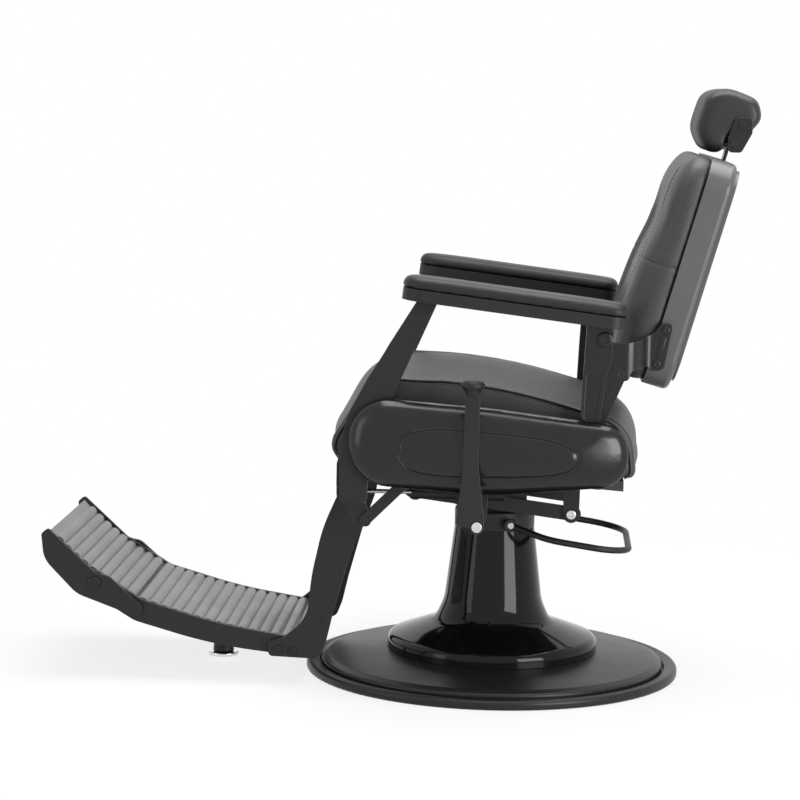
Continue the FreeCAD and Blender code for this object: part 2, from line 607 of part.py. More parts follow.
def make_arms():
    """Cranked front bars and rear posts that carry the padded armrests."""
    y, z = LEG_PIVOT
    half = D.arm_bar_top_width / 2
    front, rear = D.arm_front_y - half, D.arm_front_y + half
    run, rise = front - y, arm_underside(front) - z
    foot = z - D.arm_bar_foot_drop
    front_edge = [(0.26, 0.573, 160), (-0.042, 0.371, 160), (-0.134, 0.163, 120)]
    rear_edge = [(0.328, 0.252, 120), (0.647, 0.484, 160)]
    corners = [(front, arm_underside(front), 0)]
    corners += [(y + share * run, z + height * rise, bend) for share, height, bend in front_edge]
    corners += [(y - 0.12 * run, foot, 8), (y - 0.12 * run + D.arm_bar_width, foot, 8)]
    corners += [(y + share * run, z + height * rise, bend) for share, height, bend in rear_edge]
    corners.append((rear, arm_underside(rear), 0))
    plate_pair("front_arm_bars", corners, LAYER["arm_frame"], "dims.arm_frame_thickness")
    front, rear = D.post_y - D.post_width / 2, D.post_y + D.post_width / 2
    pivot_z = D.back_pivot_z
    low = base_underside(D.post_y) + 12
    waist, foot = pivot_z - D.post_waist_drop, pivot_z - D.post_foot_drop
    slim = D.post_foot_width
    corners = [(front - 2, arm_underside(front - 2), 0), (front - 7, waist, 60), (front - 10, foot, 40),
               (front - 25, low, 10), (rear - 4, low, 10), (front - 10 + slim, foot, 30),
               (rear - 8, waist, 60), (rear + 2, pivot_z - D.pivot_head_radius - 8, 14),
               (rear + 2, arm_underside(rear + 2), 0)]
    edge = D.post_pocket_edge
    pocket = [(front - 7 + edge, waist + 2 * edge, 6), (front - 10 + edge, foot + edge, 6),
              (front - 10 + slim - edge, foot + edge, 6), (rear - 8 - edge, waist, 40),
              (rear - 8 - edge, waist + 2 * edge, 6)]
    holes = [(BACK_PIVOT, "dims.pivot_bolt_radius + dims.running_fit")]
    posts = []
    for side, sign in SIDES:
        post = plate(f"rear_arm_post_{side}", corners, LAYER["arm_frame"], "dims.arm_frame_thickness", sign,
                     holes)
        start = D.arm_frame_thickness - D.post_pocket_depth if sign > 0 else 0
        sink(post, "YZ_Plane", pocket, start, "dims.post_pocket_depth")
        posts.append(post)
    group("rear_arm_posts", posts)
    bolts = [headed_pin(f"pivot_bolt_{side}", "dims.pivot_bolt_radius", "dims.pivot_head_radius",
                        "dims.pivot_head_height",
                        LAYER["bracket"], outer_face("arm_frame"), BACK_PIVOT, sign) for side,
                        sign in SIDES]
    group("pivot_bolts", bolts)
    make_armrests()


def make_armrests():
    """Moulded arm bases and crowned pads, level with each other and falling to the back."""
    half = D.arm_width / 2
    plan = [(-half, -D.arm_overhang, D.arm_front_radius), (half, -D.arm_overhang, D.arm_front_radius),
            (half, D.arm_length - D.arm_overhang, D.arm_rear_radius),
            (-half, D.arm_length - D.arm_overhang, D.arm_rear_radius)]
    turn = FreeCAD.Rotation(V(1, 0, 0), -D.arm_tilt)
    thick = D.arm_pad_thickness
    low = D.arm_base_thickness
    levels = [(low + D.soft_clearance, 1), (low + 0.45 * thick, 0), (low + 0.8 * thick, 4),
              (low + thick, 14)]
    bases = []
    for side, sign in SIDES:
        place = FreeCAD.Placement(V(sign * (INNER_FACE["arm_frame"] + D.arm_offset), D.arm_front_y,
                                    D.arm_bottom_z), turn)
        base = new_body(f"armrest_base_{side}")
        pad(base, "XY_Plane", inset(plan, 1.5), "dims.arm_base_thickness")
        base.Placement = place
        bases.append(base)
        soft(f"armrest_pad_{side}",
             loft([(level, inset(plan, amount)) for level, amount in levels], upward), place)
    group("armrest_bases", bases)


def panel_outline():
    """Bullet-shaped outline of the padded side panel."""
    front, rear = D.panel_front_y, D.panel_rear_y
    middle = (front + rear) / 2
    return [(front, D.panel_bottom_front_z, D.panel_front_round), (middle, D.panel_bottom_mid_z, 700),
            (rear, D.panel_bottom_rear_z, D.panel_rear_round),
            (rear, D.panel_top_rear_z, D.panel_rear_round),
            (middle, (D.panel_top_front_z + D.panel_top_rear_z) / 2 + 6, 900),
            (front, D.panel_top_front_z, D.panel_front_round)]


def make_side_panels():
    """Backing boards on the arm frames and the padded panels with their stitched inlay line."""
    outline = panel_outline()
    plate_pair("panel_boards", inset(outline, D.panel_board_inset), LAYER["panel_board"],
               "dims.panel_board_thickness")
    inner = INNER_FACE["side_panel"] + D.soft_clearance
    thick = D.side_panel_thickness - D.soft_clearance
    steps = [(0, 5), (0.2, 0), (0.62, 4), (0.88, 14), (1, 30)]
    margin, height, depth = D.panel_inlay_margin, D.panel_inlay_height, D.panel_inlay_depth
    front, rear = D.panel_front_y + margin, D.panel_rear_y - margin
    z = D.panel_inlay_z
    inlay = [(front, z - 0.5 * height, 0.46 * height), (rear, z - 0.44 * height, 0.3 * height),
             (rear, z + 0.28 * height, 0.3 * height), (front, z + 0.6 * height, 0.5 * height)]
    for side, sign in SIDES:
        levels = [(sign * (inner + share * thick), inset(outline, amount)) for share, amount in steps]
        crown = sign * (inner + thick)
        ring = loft([(crown - sign * depth, inlay), (crown + sign, inlay)], across)
        core = loft([(crown - 2 * sign * depth, inset(inlay, depth)),
                     (crown + 2 * sign, inset(inlay, depth))], across)
        soft(f"side_panel_{side}", loft(levels, across).cut(ring.cut(core)))


def lock_pin_place():
    """Rest position of the pin that drives the lock rod, leading the vertical by the crank's lead."""
    lead = math.radians(D.lock_crank_lead)
    y, z = LEG_PIVOT
    return (y + D.lock_crank_length * math.sin(lead), z - D.lock_crank_length * math.cos(lead))


def lock_height():
    """The lock's axis lies half way between the pin's highest and lowest points."""
    return (lock_pin_place()[1] + D.leg_pivot_z - D.lock_crank_length) / 2


def make_lock():
    """Hydraulic recline lock under the seat: cylinder, clamp and the rod that follows the footrest."""
    z = lock_height()
    tube = new_body("lock_housing")
    pad(tube, "XZ_Plane", [], "dims.lock_rear_y - dims.lock_front_y",
        [((0, 0), "dims.lock_radius"), ((0, 0), "dims.lock_rod_radius + dims.running_fit")])
    tube.Placement.Base = V(D.lock_x, D.lock_rear_y, z)
    keep(tube, "lock_housing")
    clamp = new_body("lock_bracket")
    rear = D.lock_clamp_y + D.lock_clamp_length
    wide = D.lock_radius + 6
    top = base_underside(rear) - z
    pad(clamp, "XZ_Plane", box_corners(-wide, -wide, wide, top, 4), "dims.lock_clamp_length",
        [((0, 0), "dims.lock_radius + dims.running_fit")])
    clamp.Placement.Base = V(D.lock_x, rear, z)
    keep(clamp, "lock_bracket")
    pin_y, pin_z = lock_pin_place()
    half, tall = D.lock_plate_width / 2, D.lock_plate_height / 2
    slot = D.lock_pin_radius + D.lock_slot_clearance
    reach = slot + D.lock_slot_travel
    yoke = plate("lock_yoke", box_corners(pin_y - half, z - tall, pin_y + half, z + tall, 8),
                 "dims.lock_x - dims.lock_plate_thickness / 2", "dims.lock_plate_thickness")
    window = DOC.addObject("Part::Box", "lock_yoke_slot")
    bind(window, Length="4 * dims.lock_plate_thickness",
         Width="2 * (dims.lock_pin_radius + dims.lock_slot_clearance)",
         Height="2 * (dims.lock_pin_radius + dims.lock_slot_clearance + dims.lock_slot_travel)")
    window.Placement.Base = V(D.lock_x - 2 * D.lock_plate_thickness, pin_y - slot, z - reach)
    rod = DOC.addObject("Part::Cylinder", "lock_rod_bar")
    bind(rod, Radius="dims.lock_rod_radius")
    rod.Height = D.lock_rear_y - 60 - (pin_y + half - 2)
    rod.Placement = FreeCAD.Placement(V(D.lock_x, pin_y + half - 2, z), FreeCAD.Rotation(V(1, 0, 0), -90))
    whole = DOC.addObject("Part::MultiFuse", "lock_rod_whole")
    whole.Shapes = [yoke, rod]
    cut = DOC.addObject("Part::Cut", "lock_rod")
    cut.Base = whole
    cut.Tool = window
    keep(cut, "lock_rod")


def make_lever():
    """Recline lever on a cross shaft that trips the lock, with its hangers under the seat board."""
    y, z = LEVER_PIVOT
    half = D.hanger_width / 2
    corners = [(y - half, base_underside(y - half), 0), (y - half + 3, z - 14, 12),
               (y + half - 3, z - 14, 12),
               (y + half, base_underside(y + half), 0)]
    holes = [(LEVER_PIVOT, "dims.lever_shaft_radius + dims.running_fit")]
    hangers = [plate(f"lever_hanger_{index}", corners, f"dims.seat_half_width - {step}",
                     "dims.hanger_thickness", 1, holes)
               for index, step in enumerate(("dims.hanger_inner_inset", "dims.hanger_outer_inset"))]
    group("lever_hangers", hangers)
    inner = f"{outer_face('side_panel')} + dims.lever_gap"
    outer = f"{inner} + dims.lever_thickness"
    keep(headed_pin("lever_shaft", "dims.lever_shaft_radius", "dims.lever_head_radius",
                    "dims.lever_head_height",
                    "dims.lock_x + dims.lock_radius + dims.soft_clearance", outer, LEVER_PIVOT),
                    "lever_shaft")
    top = D.lever_top_z
    centre = y - D.lever_lean
    slim = D.lever_top_width / 2
    corners = [(centre - slim, top, 3), (centre - slim - 1, z + 105, 120),
               (y + 5 - D.lever_foot_width, z + 5, 6),
               (y - 12, z - 4, 6), (y - 9, z - 13, 8), (y + 12, z - 13, 12), (y + 12, z + 16, 12),
               (centre + slim, z + 105, 120), (centre + slim, top, 3)]
    lever = plate("recline_lever", corners, inner, "dims.lever_thickness", 1,
                  [(LEVER_PIVOT, "dims.lever_shaft_radius")])
    keep(lever, "recline_lever")
    tall, wide = D.knob_height, D.knob_radius
    knob = turned("lever_knob", [(0, 0, 0), (0.55 * wide, 0, 2), (0.62 * wide, 0.3 * tall, 14),
                                 (wide, 0.62 * tall, 5), (0.8 * wide, tall, 9), (0, tall, 0)])
    middle = INNER_FACE["side_panel"] + D.side_panel_thickness + D.lever_gap + D.lever_thickness / 2
    knob.Placement.Base = V(middle, centre, top)
    keep(knob, "lever_knob")


BACK_PLACE = FreeCAD.Placement(V(0, D.back_foot_y, D.back_foot_z),
                               FreeCAD.Rotation(V(1, 0, 0), -D.back_lean))
POST_DEPTH = D.back_panel_thickness + D.shell_wall + D.guide_wall + D.post_fit + D.post_thickness / 2


def back_point(depth, height):
    """(Y, Z) of a point of the back, from its depth in front of the rear face and its height."""
    spot = BACK_PLACE.multVec(V(0, -depth, height))
    return (spot.y, spot.z)


YOKE_BAR = back_point(POST_DEPTH, D.back_height + D.post_shown + D.yoke_bar_height / 2)
HEAD_PIVOT = (YOKE_BAR[0] + D.head_pivot_back, YOKE_BAR[1] + D.head_pivot_rise)


def back_layer(name, corners, depth, start):
    """Upright slab of the back from a front-view outline, leaned with the back."""
    body = new_body(name)
    pad(body, "XZ_Plane", corners, depth)
    body.Placement = BACK_PLACE.multiply(FreeCAD.Placement(V(0, -start, 0), FreeCAD.Rotation()))
    return body


def rear_face(feature):
    """Name of the face that a slab of the back started from."""
    for index, found in enumerate(feature.Shape.Faces, start=1):
        if abs(found.CenterOfMass.y) < 1e-6:
            return f"Face{index}"
    raise ValueError("no rear face found")


def make_back():
    """Moulded back shell with its rear panel, and the upholstered cushion with side bolsters."""
    half, low, high = D.back_half_width, D.back_rise, D.back_height
    outline = box_corners(-half, low, half, high, D.shell_corner)
    panel = back_layer("back_panel",
                       inset(box_corners(-half, D.back_panel_rise, half, high, D.shell_corner),
                                           D.back_panel_inset), "dims.back_panel_thickness", 0)
    keep(panel, "back_panel")
    shell = back_layer("back_shell", outline, "dims.back_shell_depth", D.back_panel_thickness)
    slab = shell.Tip
    DOC.recompute()
    edge = shell.newObject("PartDesign::Fillet", "back_shell_edge")
    edge.Base = (slab, [rear_face(slab)])
    bind(edge, Radius="dims.shell_edge")
    DOC.recompute()
    sink(shell, "XZ_Plane", inset(outline, D.shell_wall), D.shell_wall, "dims.back_shell_depth")
    slot_half = D.post_half_width + D.post_fit
    slot_start = POST_DEPTH - D.post_thickness / 2 - D.post_fit - D.back_panel_thickness
    slot = box_corners(-slot_half, high - 2 * D.shell_wall, slot_half, high + D.shell_wall)
    sink(shell, "XZ_Plane", slot, slot_start, "dims.post_thickness + 2 * dims.post_fit")
    keep(shell, "back_shell")
    start = D.back_panel_thickness + D.back_shell_depth + D.soft_clearance
    depth = D.back_cushion_depth
    wide = half - D.back_side_gap
    steps = [(0, 4, 0), (0.24, 0, 0.04), (0.62, 5, 0.26), (0.86, 16, 0.6), (1, 40, 1)]
    levels = []
    for share, amount, taper in steps:
        tapered = box_corners(-wide, low, wide, high - taper * D.back_cushion_taper, D.shell_corner)
        levels.append((share * depth, inset(tapered, amount)))
    cushion = loft(levels, forward)
    recess = box_corners(-D.back_recess_half_width, D.back_recess_low, D.back_recess_half_width,
                         D.back_recess_high, 40)
    sunk = loft([(depth - D.back_recess_depth, inset(recess, 6)), (depth + 1, inset(recess, -2))], forward)
    soft("back_cushion", cushion.cut(sunk),
         BACK_PLACE.multiply(FreeCAD.Placement(V(0, -start, 0), FreeCAD.Rotation())))


def make_back_brackets():
    """Cast brackets that swing on the rear posts, wrap in to the shell's sides and drive the links."""
    thick = D.bracket_thickness
    outer = INNER_FACE["bracket"] + thick
    hip, shell_y = D.bracket_bend_y, D.bracket_flange_y
    flange = D.back_half_width
    front, rear = D.back_pivot_y - 30, shell_y + D.bracket_flange_width + 10
    plan = [(outer, front, 0), (outer, hip, 28), (flange + thick, shell_y, 16), (flange + thick, rear, 0),
            (flange, rear, 0), (flange, shell_y - 4, 22), (outer - thick, hip - 4, 22),
            (outer - thick, front, 0)]
    y, z = BACK_PIVOT
    pin_y, pin_z = BACK_PIN
    lug = D.link_pin_radius + 6.5
    eye, tail = D.bracket_eye, z - D.bracket_tail_drop
    boss = D.bracket_boss
    low_y, low_z = D.screw_lower_y, D.screw_lower_z
    top_y, top_z = D.screw_upper_y, D.screw_upper_z
    side = [(y - eye - 7, z + eye + 5, 16), (y - eye - 7, z - 3 * eye, 20), (y - eye, tail, 8),
            (y + 3, tail, 6),
            (y + eye, (tail + pin_z - lug) / 2, 60), (pin_y - 2, pin_z - lug, 30),
            (pin_y + lug, pin_z - lug, 12),
            (pin_y + lug + 4, pin_z + 4, 10), (low_y - 16, low_z - 3, 20), (low_y - 9, low_z - boss, 6),
            (low_y + boss, low_z - boss, boss), (top_y + boss, top_z + boss, boss),
            (top_y - 8, top_z + boss, 10),
            (top_y - 20, top_z - 6, 20), (low_y - 32, z - 3, 60), (pin_y + 4, z - 8, 40),
            (y + eye, z - 6, 5),
            (y + eye, z + eye + 5, 12)]
    holes = [(BACK_PIVOT, "dims.pivot_bolt_radius + dims.running_fit"), (BACK_PIN, "dims.link_pin_radius"),
             ((D.screw_upper_y, D.screw_upper_z), "dims.screw_radius"),
             ((D.screw_lower_y, D.screw_lower_z), "dims.screw_radius")]
    brackets = []
    for name, sign in SIDES:
        strip = new_body(f"bracket_strip_{name}")
        pad(strip, "XY_Plane", [(sign * x, y_plan, bend) for x, y_plan, bend in plan],
            "2 * dims.back_height")
        cut_out = new_body(f"bracket_side_{name}")
        pad(cut_out, "YZ_Plane", side, "2 * dims.base_radius", holes, symmetric=True)
        both = DOC.addObject("Part::Common", f"back_bracket_{name}")
        both.Base = strip
        both.Tool = cut_out
        strip.Placement.Base = V(0, 0, pin_z - D.back_height)
        brackets.append(both)
    group("back_brackets", brackets)
    screws, pins = [], []
    for name, sign in SIDES:
        pins.append(pin(f"link_pin_{name}", "dims.link_pin_radius", f"{LAYER['link']} - dims.layer_gap / 2",
                        outer_face("bracket"), BACK_PIN, sign))
        for index, place in enumerate(((D.screw_upper_y, D.screw_upper_z),
                                       (D.screw_lower_y, D.screw_lower_z))):
            screws.append(headed_pin(f"bracket_screw_{name}_{index}", "dims.screw_radius",
                                     "dims.screw_head_radius",
                                     "dims.screw_head_height", "dims.back_half_width",
                                     "dims.back_half_width + dims.bracket_thickness", place, sign))
    group("bracket_screws", screws)
    group("link_pins", pins)


def make_tie_links():
    """Cranked flat links that tie the back brackets to the footrest cranks."""
    half = D.link_width / 2
    knee = V(LEG_PIN[0] + D.link_knee, LEG_PIN[1] + D.link_knee, 0)
    line = [V(*LEG_PIN, 0), knee, V(D.link_heel_y, D.link_heel_z, 0), V(*BACK_PIN, 0)]
    runs = [(after - before).normalize() for before, after in zip(line, line[1:])]
    turn = V(0, 0, 1)
    sides = []
    for sign in (1, -1):
        start = line[0] - runs[0] * half + turn.cross(runs[0]) * half * sign
        edge = [(start.x, start.y, half)]
        for point, before, after in zip(line[1:], runs, runs[1:]):
            mean = (turn.cross(before) + turn.cross(after)).normalize()
            bend = point + mean * half * sign / math.cos(before.getAngle(after) / 2)
            edge.append((bend.x, bend.y, 2 * D.link_width))
        end = line[-1] + runs[-1] * half + turn.cross(runs[-1]) * half * sign
        sides.append(edge + [(end.x, end.y, half)])
    holes = [(BACK_PIN, "dims.link_pin_radius + dims.running_fit"),
             (LEG_PIN, "dims.link_pin_radius + dims.open_pivot_clearance")]
    plate_pair("tie_links", sides[0] + sides[1][::-1], LAYER["link"], "dims.link_thickness", holes)


def make_headrest():
    """Headrest on a flat post that slides in the back, tilting between the ears of its yoke."""
    half, thick = D.post_half_width, D.post_thickness
    top = D.back_height
    bar = back_layer("headrest_post", box_corners(-half, top - D.post_buried, half, top + D.post_shown),
                     "dims.post_thickness", POST_DEPTH - thick / 2)
    keep(bar, "headrest_post")
    fit, wall = D.post_fit, D.guide_wall
    outside = box_corners(-half - wall - fit, -wall - fit - thick / 2, half + wall + fit,
                          wall + fit + thick / 2, 2)
    inside = box_corners(-half - fit, -fit - thick / 2, half + fit, fit + thick / 2)
    guide = new_body("headrest_guide")
    sketch = new_sketch(guide, "XY_Plane")
    draw(sketch, outside)
    draw(sketch, inside)
    tube = guide.newObject("PartDesign::Pad", "headrest_guide_pad")
    tube.Profile = sketch
    bind(tube, Length="dims.guide_length")
    guide.Placement = BACK_PLACE.multiply(
        FreeCAD.Placement(V(0, -POST_DEPTH, top - D.shell_wall - D.guide_length), FreeCAD.Rotation()))
    keep(guide, "headrest_guide")
    make_yoke()
    make_headrest_pad()


def make_yoke():
    """Cross bar on the post with an ear plate at each end."""
    y, z = YOKE_BAR
    inner = D.head_half_width + D.yoke_gap
    seat = D.back_height + D.post_shown
    bar = back_layer("yoke_bar", box_corners(-inner, seat, inner, seat + D.yoke_bar_height),
                     "dims.yoke_bar_depth", POST_DEPTH - D.yoke_bar_depth / 2)
    pivot = HEAD_PIVOT
    corners = [(y - 10, z - 15, 8), (y + 14, z - 15, 8), (pivot[0] + 18, pivot[1] - 14, 8),
               (pivot[0] + 18, pivot[1] + 14, 8),
               (pivot[0] - 12, pivot[1] + 14, 10), (y - 10, z + 12, 12)]
    holes = [(pivot, "dims.head_screw_radius + dims.running_fit"),
             ((y, z), "dims.head_screw_radius + dims.running_fit")]
    ears = [plate(f"yoke_ear_{side}", corners, "dims.head_half_width + dims.yoke_gap",
                  "dims.yoke_thickness", sign, holes)
            for side, sign in SIDES]
    yoke = DOC.addObject("Part::MultiFuse", "headrest_yoke")
    yoke.Shapes = [bar] + ears
    keep(yoke, "headrest_yoke")
    screws = []
    for side, sign in SIDES:
        for index, place in enumerate((pivot, (y, z))):
            outer = "dims.head_half_width + dims.yoke_gap + dims.yoke_thickness"
            into_pad = index == 0
            start = "dims.head_half_width" + (" - dims.head_screw_depth" if into_pad else " + dims.yoke_gap")
            screws.append(headed_pin(f"headrest_screw_{side}_{index}", "dims.head_screw_radius",
                                     "dims.head_screw_head",
                                     "dims.head_screw_head_height", start, outer, place, sign))
    group("headrest_screws", screws)


def make_headrest_pad():
    """Bean-shaped headrest cushion, drawn in at its ends, bored for the pivot screws."""
    y, z = YOKE_BAR
    front, lip = y - D.head_front_reach, y + D.head_lip_reach
    foot, top = z - D.head_foot_drop, z + D.head_top_rise
    bar_front = y - D.yoke_bar_depth / 2 - D.head_clearance
    bar_top = z + D.yoke_bar_height / 2 + D.head_clearance
    outline = [(front + 12, foot, 26), (bar_front, foot, 14), (bar_front, bar_top, 10),
               (lip - 22, bar_top + 6, 14),
               (lip, bar_top + 32, 14), (lip - 8, top - 20, 22), (lip - 62, top, 50),
               (front + 14, top - 6, 46),
               (front - 6, foot + 42, 40)]
    half = D.head_half_width
    steps = [(half, 12), (half - 6, 5), (half - 22, 0), (half / 2, -1)]
    sections = [(-x, inset(outline, amount)) for x, amount in steps] + [(x, inset(outline, a)) for x,
                                                                        a in reversed(steps)]
    shape = loft(sections, across)
    place = V(-half, *HEAD_PIVOT)
    shape = shape.cut(Part.makeCylinder(D.head_screw_radius + D.running_fit, 2 * half, place, V(1, 0, 0)))
    soft("headrest_pad", shape)


def arc_path(start, end, sag):
    """Circle through two ends of a tread that sags below its chord: centre, radius and end angles."""
    begin, finish = V(*start, 0), V(*end, 0)
    chord = finish - begin
    up = V(chord.y, -chord.x, 0).normalize()
    radius = (chord.Length ** 2 / 4 + sag ** 2) / (2 * sag)
    centre = (begin + finish) / 2 + up * (radius - sag)
    angles = [math.atan2(p.y - centre.y, p.x - centre.x) for p in (begin, finish)]
    return centre, radius, angles


def along(path, share, rise=0.0):
    """Point on a tread's arc at a share of its length, raised towards the foot."""
    centre, radius, (first, last) = path
    angle = first + share * (last - first)
    reach = radius - rise
    return V(centre.x + reach * math.cos(angle), centre.y + reach * math.sin(angle), 0)


MAIN_PATH = arc_path((D.tread_rear_y, D.tread_rear_z), (D.tread_front_y, D.tread_front_z), D.tread_sag)
gap_share = D.flap_gap / math.dist((D.tread_front_y, D.tread_front_z), (D.flap_tip_y, D.flap_tip_z))
FLAP_START = (D.tread_front_y + gap_share * (D.flap_tip_y - D.tread_front_y),
              D.tread_front_z + gap_share * (D.flap_tip_z - D.tread_front_z))
FLAP_PATH = arc_path(FLAP_START, (D.flap_tip_y, D.flap_tip_z), D.flap_sag)


def ribbed_tread(name, path, ribs, flat_share, half_width):
    """Tread pressed in round ribs across its length, with an optional flat strip at its far end."""
    body = new_body(name)
    sketch = new_sketch(body, "YZ_Plane")
    rib_share = (1 - flat_share) / ribs
    for rib in range(ribs):
        edge, crest, next_edge = ((rib + part) * rib_share for part in (0, 0.5, 1))
        sketch.addGeometry(Part.Arc(along(path, edge), along(path, crest, D.rib_height),
                                    along(path, next_edge)))
    if flat_share:
        sketch.addGeometry(Part.LineSegment(along(path, 1 - flat_share), along(path, 1)))
    under = -D.tread_thickness
    sketch.addGeometry(Part.LineSegment(along(path, 1), along(path, 1, under)))
    sketch.addGeometry(Part.Arc(along(path, 1, under), along(path, 0.5, under), along(path, 0, under)))
    sketch.addGeometry(Part.LineSegment(along(path, 0, under), along(path, 0)))
    for index in range(sketch.GeometryCount):
        sketch.addConstraint(Sketcher.Constraint("Block", index))
    sheet_pad = body.newObject("PartDesign::Pad", f"{name}_pad")
    sheet_pad.Profile = sketch
    sheet_pad.SideType = "Symmetric"
    bind(sheet_pad, Length=f"2 * ({half_width})")
    return keep(body, name)


RAIL_INNER = "dims.leg_x - dims.footrest_gap - dims.footrest_rail_thickness"


def foot_bolt_places():
    """Two bolts through each leg's toe into the rail."""
    toe = D.tread_rear_y - D.toe_length / 2
    z = D.tread_rear_z - D.toe_height / 2
    return [(toe - 14, z + 1), (toe + 14, z - 1)]


def make_legs():
    """Cross tube, cranks and curved legs that swing the footrest out as the back goes down."""
    y, z = LEG_PIVOT
    keep(pin("cross_tube", "dims.tube_radius", f"-({LAYER['crank']})", LAYER["crank"], LEG_PIVOT),
         "cross_tube")
    lug = D.link_pin_radius + 7
    pin_y, pin_z = LEG_PIN
    hub = D.tube_radius + 6
    arm = [(y - hub, z + hub, hub), (y - hub, z - hub, hub), (pin_y - lug, pin_z - lug, lug),
           (pin_y + lug, pin_z - lug, lug),
           (y + hub, z - 8, 30), (y + hub, z + hub, hub)]
    cranks = []
    for side, sign in SIDES:
        disc = plate(f"crank_{side}", arm, LAYER["crank"], "dims.crank_thickness", sign)
        stud = pin(f"crank_stud_{side}", "dims.link_pin_radius", LAYER["crank"],
                   f"{outer_face('link')} + dims.layer_gap / 2", LEG_PIN, sign)
        whole = DOC.addObject("Part::MultiFuse", f"footrest_crank_{side}")
        whole.Shapes = [disc, stud]
        cranks.append(whole)
    cranks.append(make_lock_crank(hub))
    group("footrest_cranks", cranks)
    eye = D.eye_radius
    toe_front, toe_low = D.tread_rear_y - D.toe_length, D.tread_rear_z - D.toe_height
    run, drop = D.tread_rear_y - y, D.tread_rear_z - z
    heel = D.tread_rear_y + D.toe_length / 2
    front_edge = [(0.27, 0.08, 40), (0.605, 0.30, 300), (0.826, 0.594, 400), (0.907, 0.858, 80)]
    rear_edge = [(0.5, 1.0, 60), (0.36, 0.825, 300), (0.058, 0.505, 400), (-0.244, 0.264, 200),
                 (-0.302, 0.13, 60)]
    corners = [(y - eye, z + eye, eye)]
    corners += [(y + share * run, z + height * drop, bend) for share, height, bend in front_edge]
    corners += [(toe_front + 26, D.tread_rear_z + 6, 12), (toe_front, D.tread_rear_z - 2, 8),
                (toe_front, toe_low + 6, 8),
                (heel, toe_low + 3, 16)]
    corners += [(y + share * run, z + height * drop, bend) for share, height, bend in rear_edge]
    corners.append((y + eye, z + eye, eye))
    holes = [(LEG_PIVOT, "dims.tube_radius")] + [(place,
                                                  "dims.foot_bolt_radius") for place in foot_bolt_places()]
    plate_pair("footrest_legs", corners, "dims.leg_x", "dims.leg_thickness", holes)


def make_lock_crank(hub):
    """Short crank on the cross tube whose pin drives the lock rod."""
    y, z = LEG_PIVOT
    pin_y, pin_z = lock_pin_place()
    lug = D.lock_pin_radius + 6
    corners = [(y - hub, z + hub, hub), (y - hub, z - hub, hub), (pin_y - lug, pin_z - lug, lug),
               (pin_y + lug, pin_z - lug, lug),
               (y + hub, z - 4, 16), (y + hub, z + hub, hub)]
    plate_face = "dims.lock_x - dims.lock_plate_thickness / 2 - dims.layer_gap"
    inner = f"{plate_face} - dims.crank_thickness"
    disc = plate("lock_crank_disc", corners, inner, "dims.crank_thickness", 1,
                 [(LEG_PIVOT, "dims.tube_radius")])
    stud = pin("lock_crank_stud", "dims.lock_pin_radius", inner,
               "dims.lock_x + dims.lock_plate_thickness / 2 + dims.layer_gap", (pin_y, pin_z))
    crank = DOC.addObject("Part::MultiFuse", "lock_crank")
    crank.Shapes = [disc, stud]
    return crank


def make_footrest():
    """Side rails, ribbed tread, crossbar and floor bumper of the footrest."""
    depth, lip, nose = D.footrest_rail_depth, D.footrest_rail_lip, D.flap_nose
    low = [along(MAIN_PATH, share, -depth + ease) for share, ease in ((0, 9), (0.5, 1), (0.97, 0))]
    high = [along(MAIN_PATH, share, lip) for share in (0.97, 0.5, 0)]
    tip = V(*FLAP_PIVOT, 0)
    out = (tip - (low[2] + high[0]) / 2).normalize()
    across_nose = V(-out.y, out.x, 0)
    nose_low = tip + out * nose + across_nose * nose
    nose_high = tip + out * nose - across_nose * nose
    corners = [(low[0].x, low[0].y, 8), (low[1].x, low[1].y, 900), (low[2].x, low[2].y, 60),
               (nose_low.x, nose_low.y, nose),
               (nose_high.x, nose_high.y, nose), (high[0].x, high[0].y, 60), (high[1].x, high[1].y, 900),
               (high[2].x, high[2].y, 4)]
    holes = [(FLAP_PIVOT, "dims.flap_bolt_radius + dims.running_fit")]
    holes += [(place, "dims.foot_bolt_radius") for place in foot_bolt_places()]
    plate_pair("main_rails", corners, RAIL_INNER, "dims.footrest_rail_thickness", holes)
    ribbed_tread("main_tread", MAIN_PATH, int(D.main_ribs), 0, RAIL_INNER)
    bolts = []
    for side, sign in SIDES:
        for index, place in enumerate(foot_bolt_places()):
            bolts.append(headed_pin(f"foot_bolt_{side}_{index}", "dims.foot_bolt_radius",
                                    "dims.foot_head_radius",
                                    "dims.foot_head_height", RAIL_INNER, "dims.leg_x + dims.leg_thickness",
                                    place, sign))
    group("footrest_bolts", bolts)
    make_bumper()


def tread_share(y):
    """Share of the main tread's length at a Y position."""
    return (y - D.tread_rear_y) / (D.tread_front_y - D.tread_rear_y)


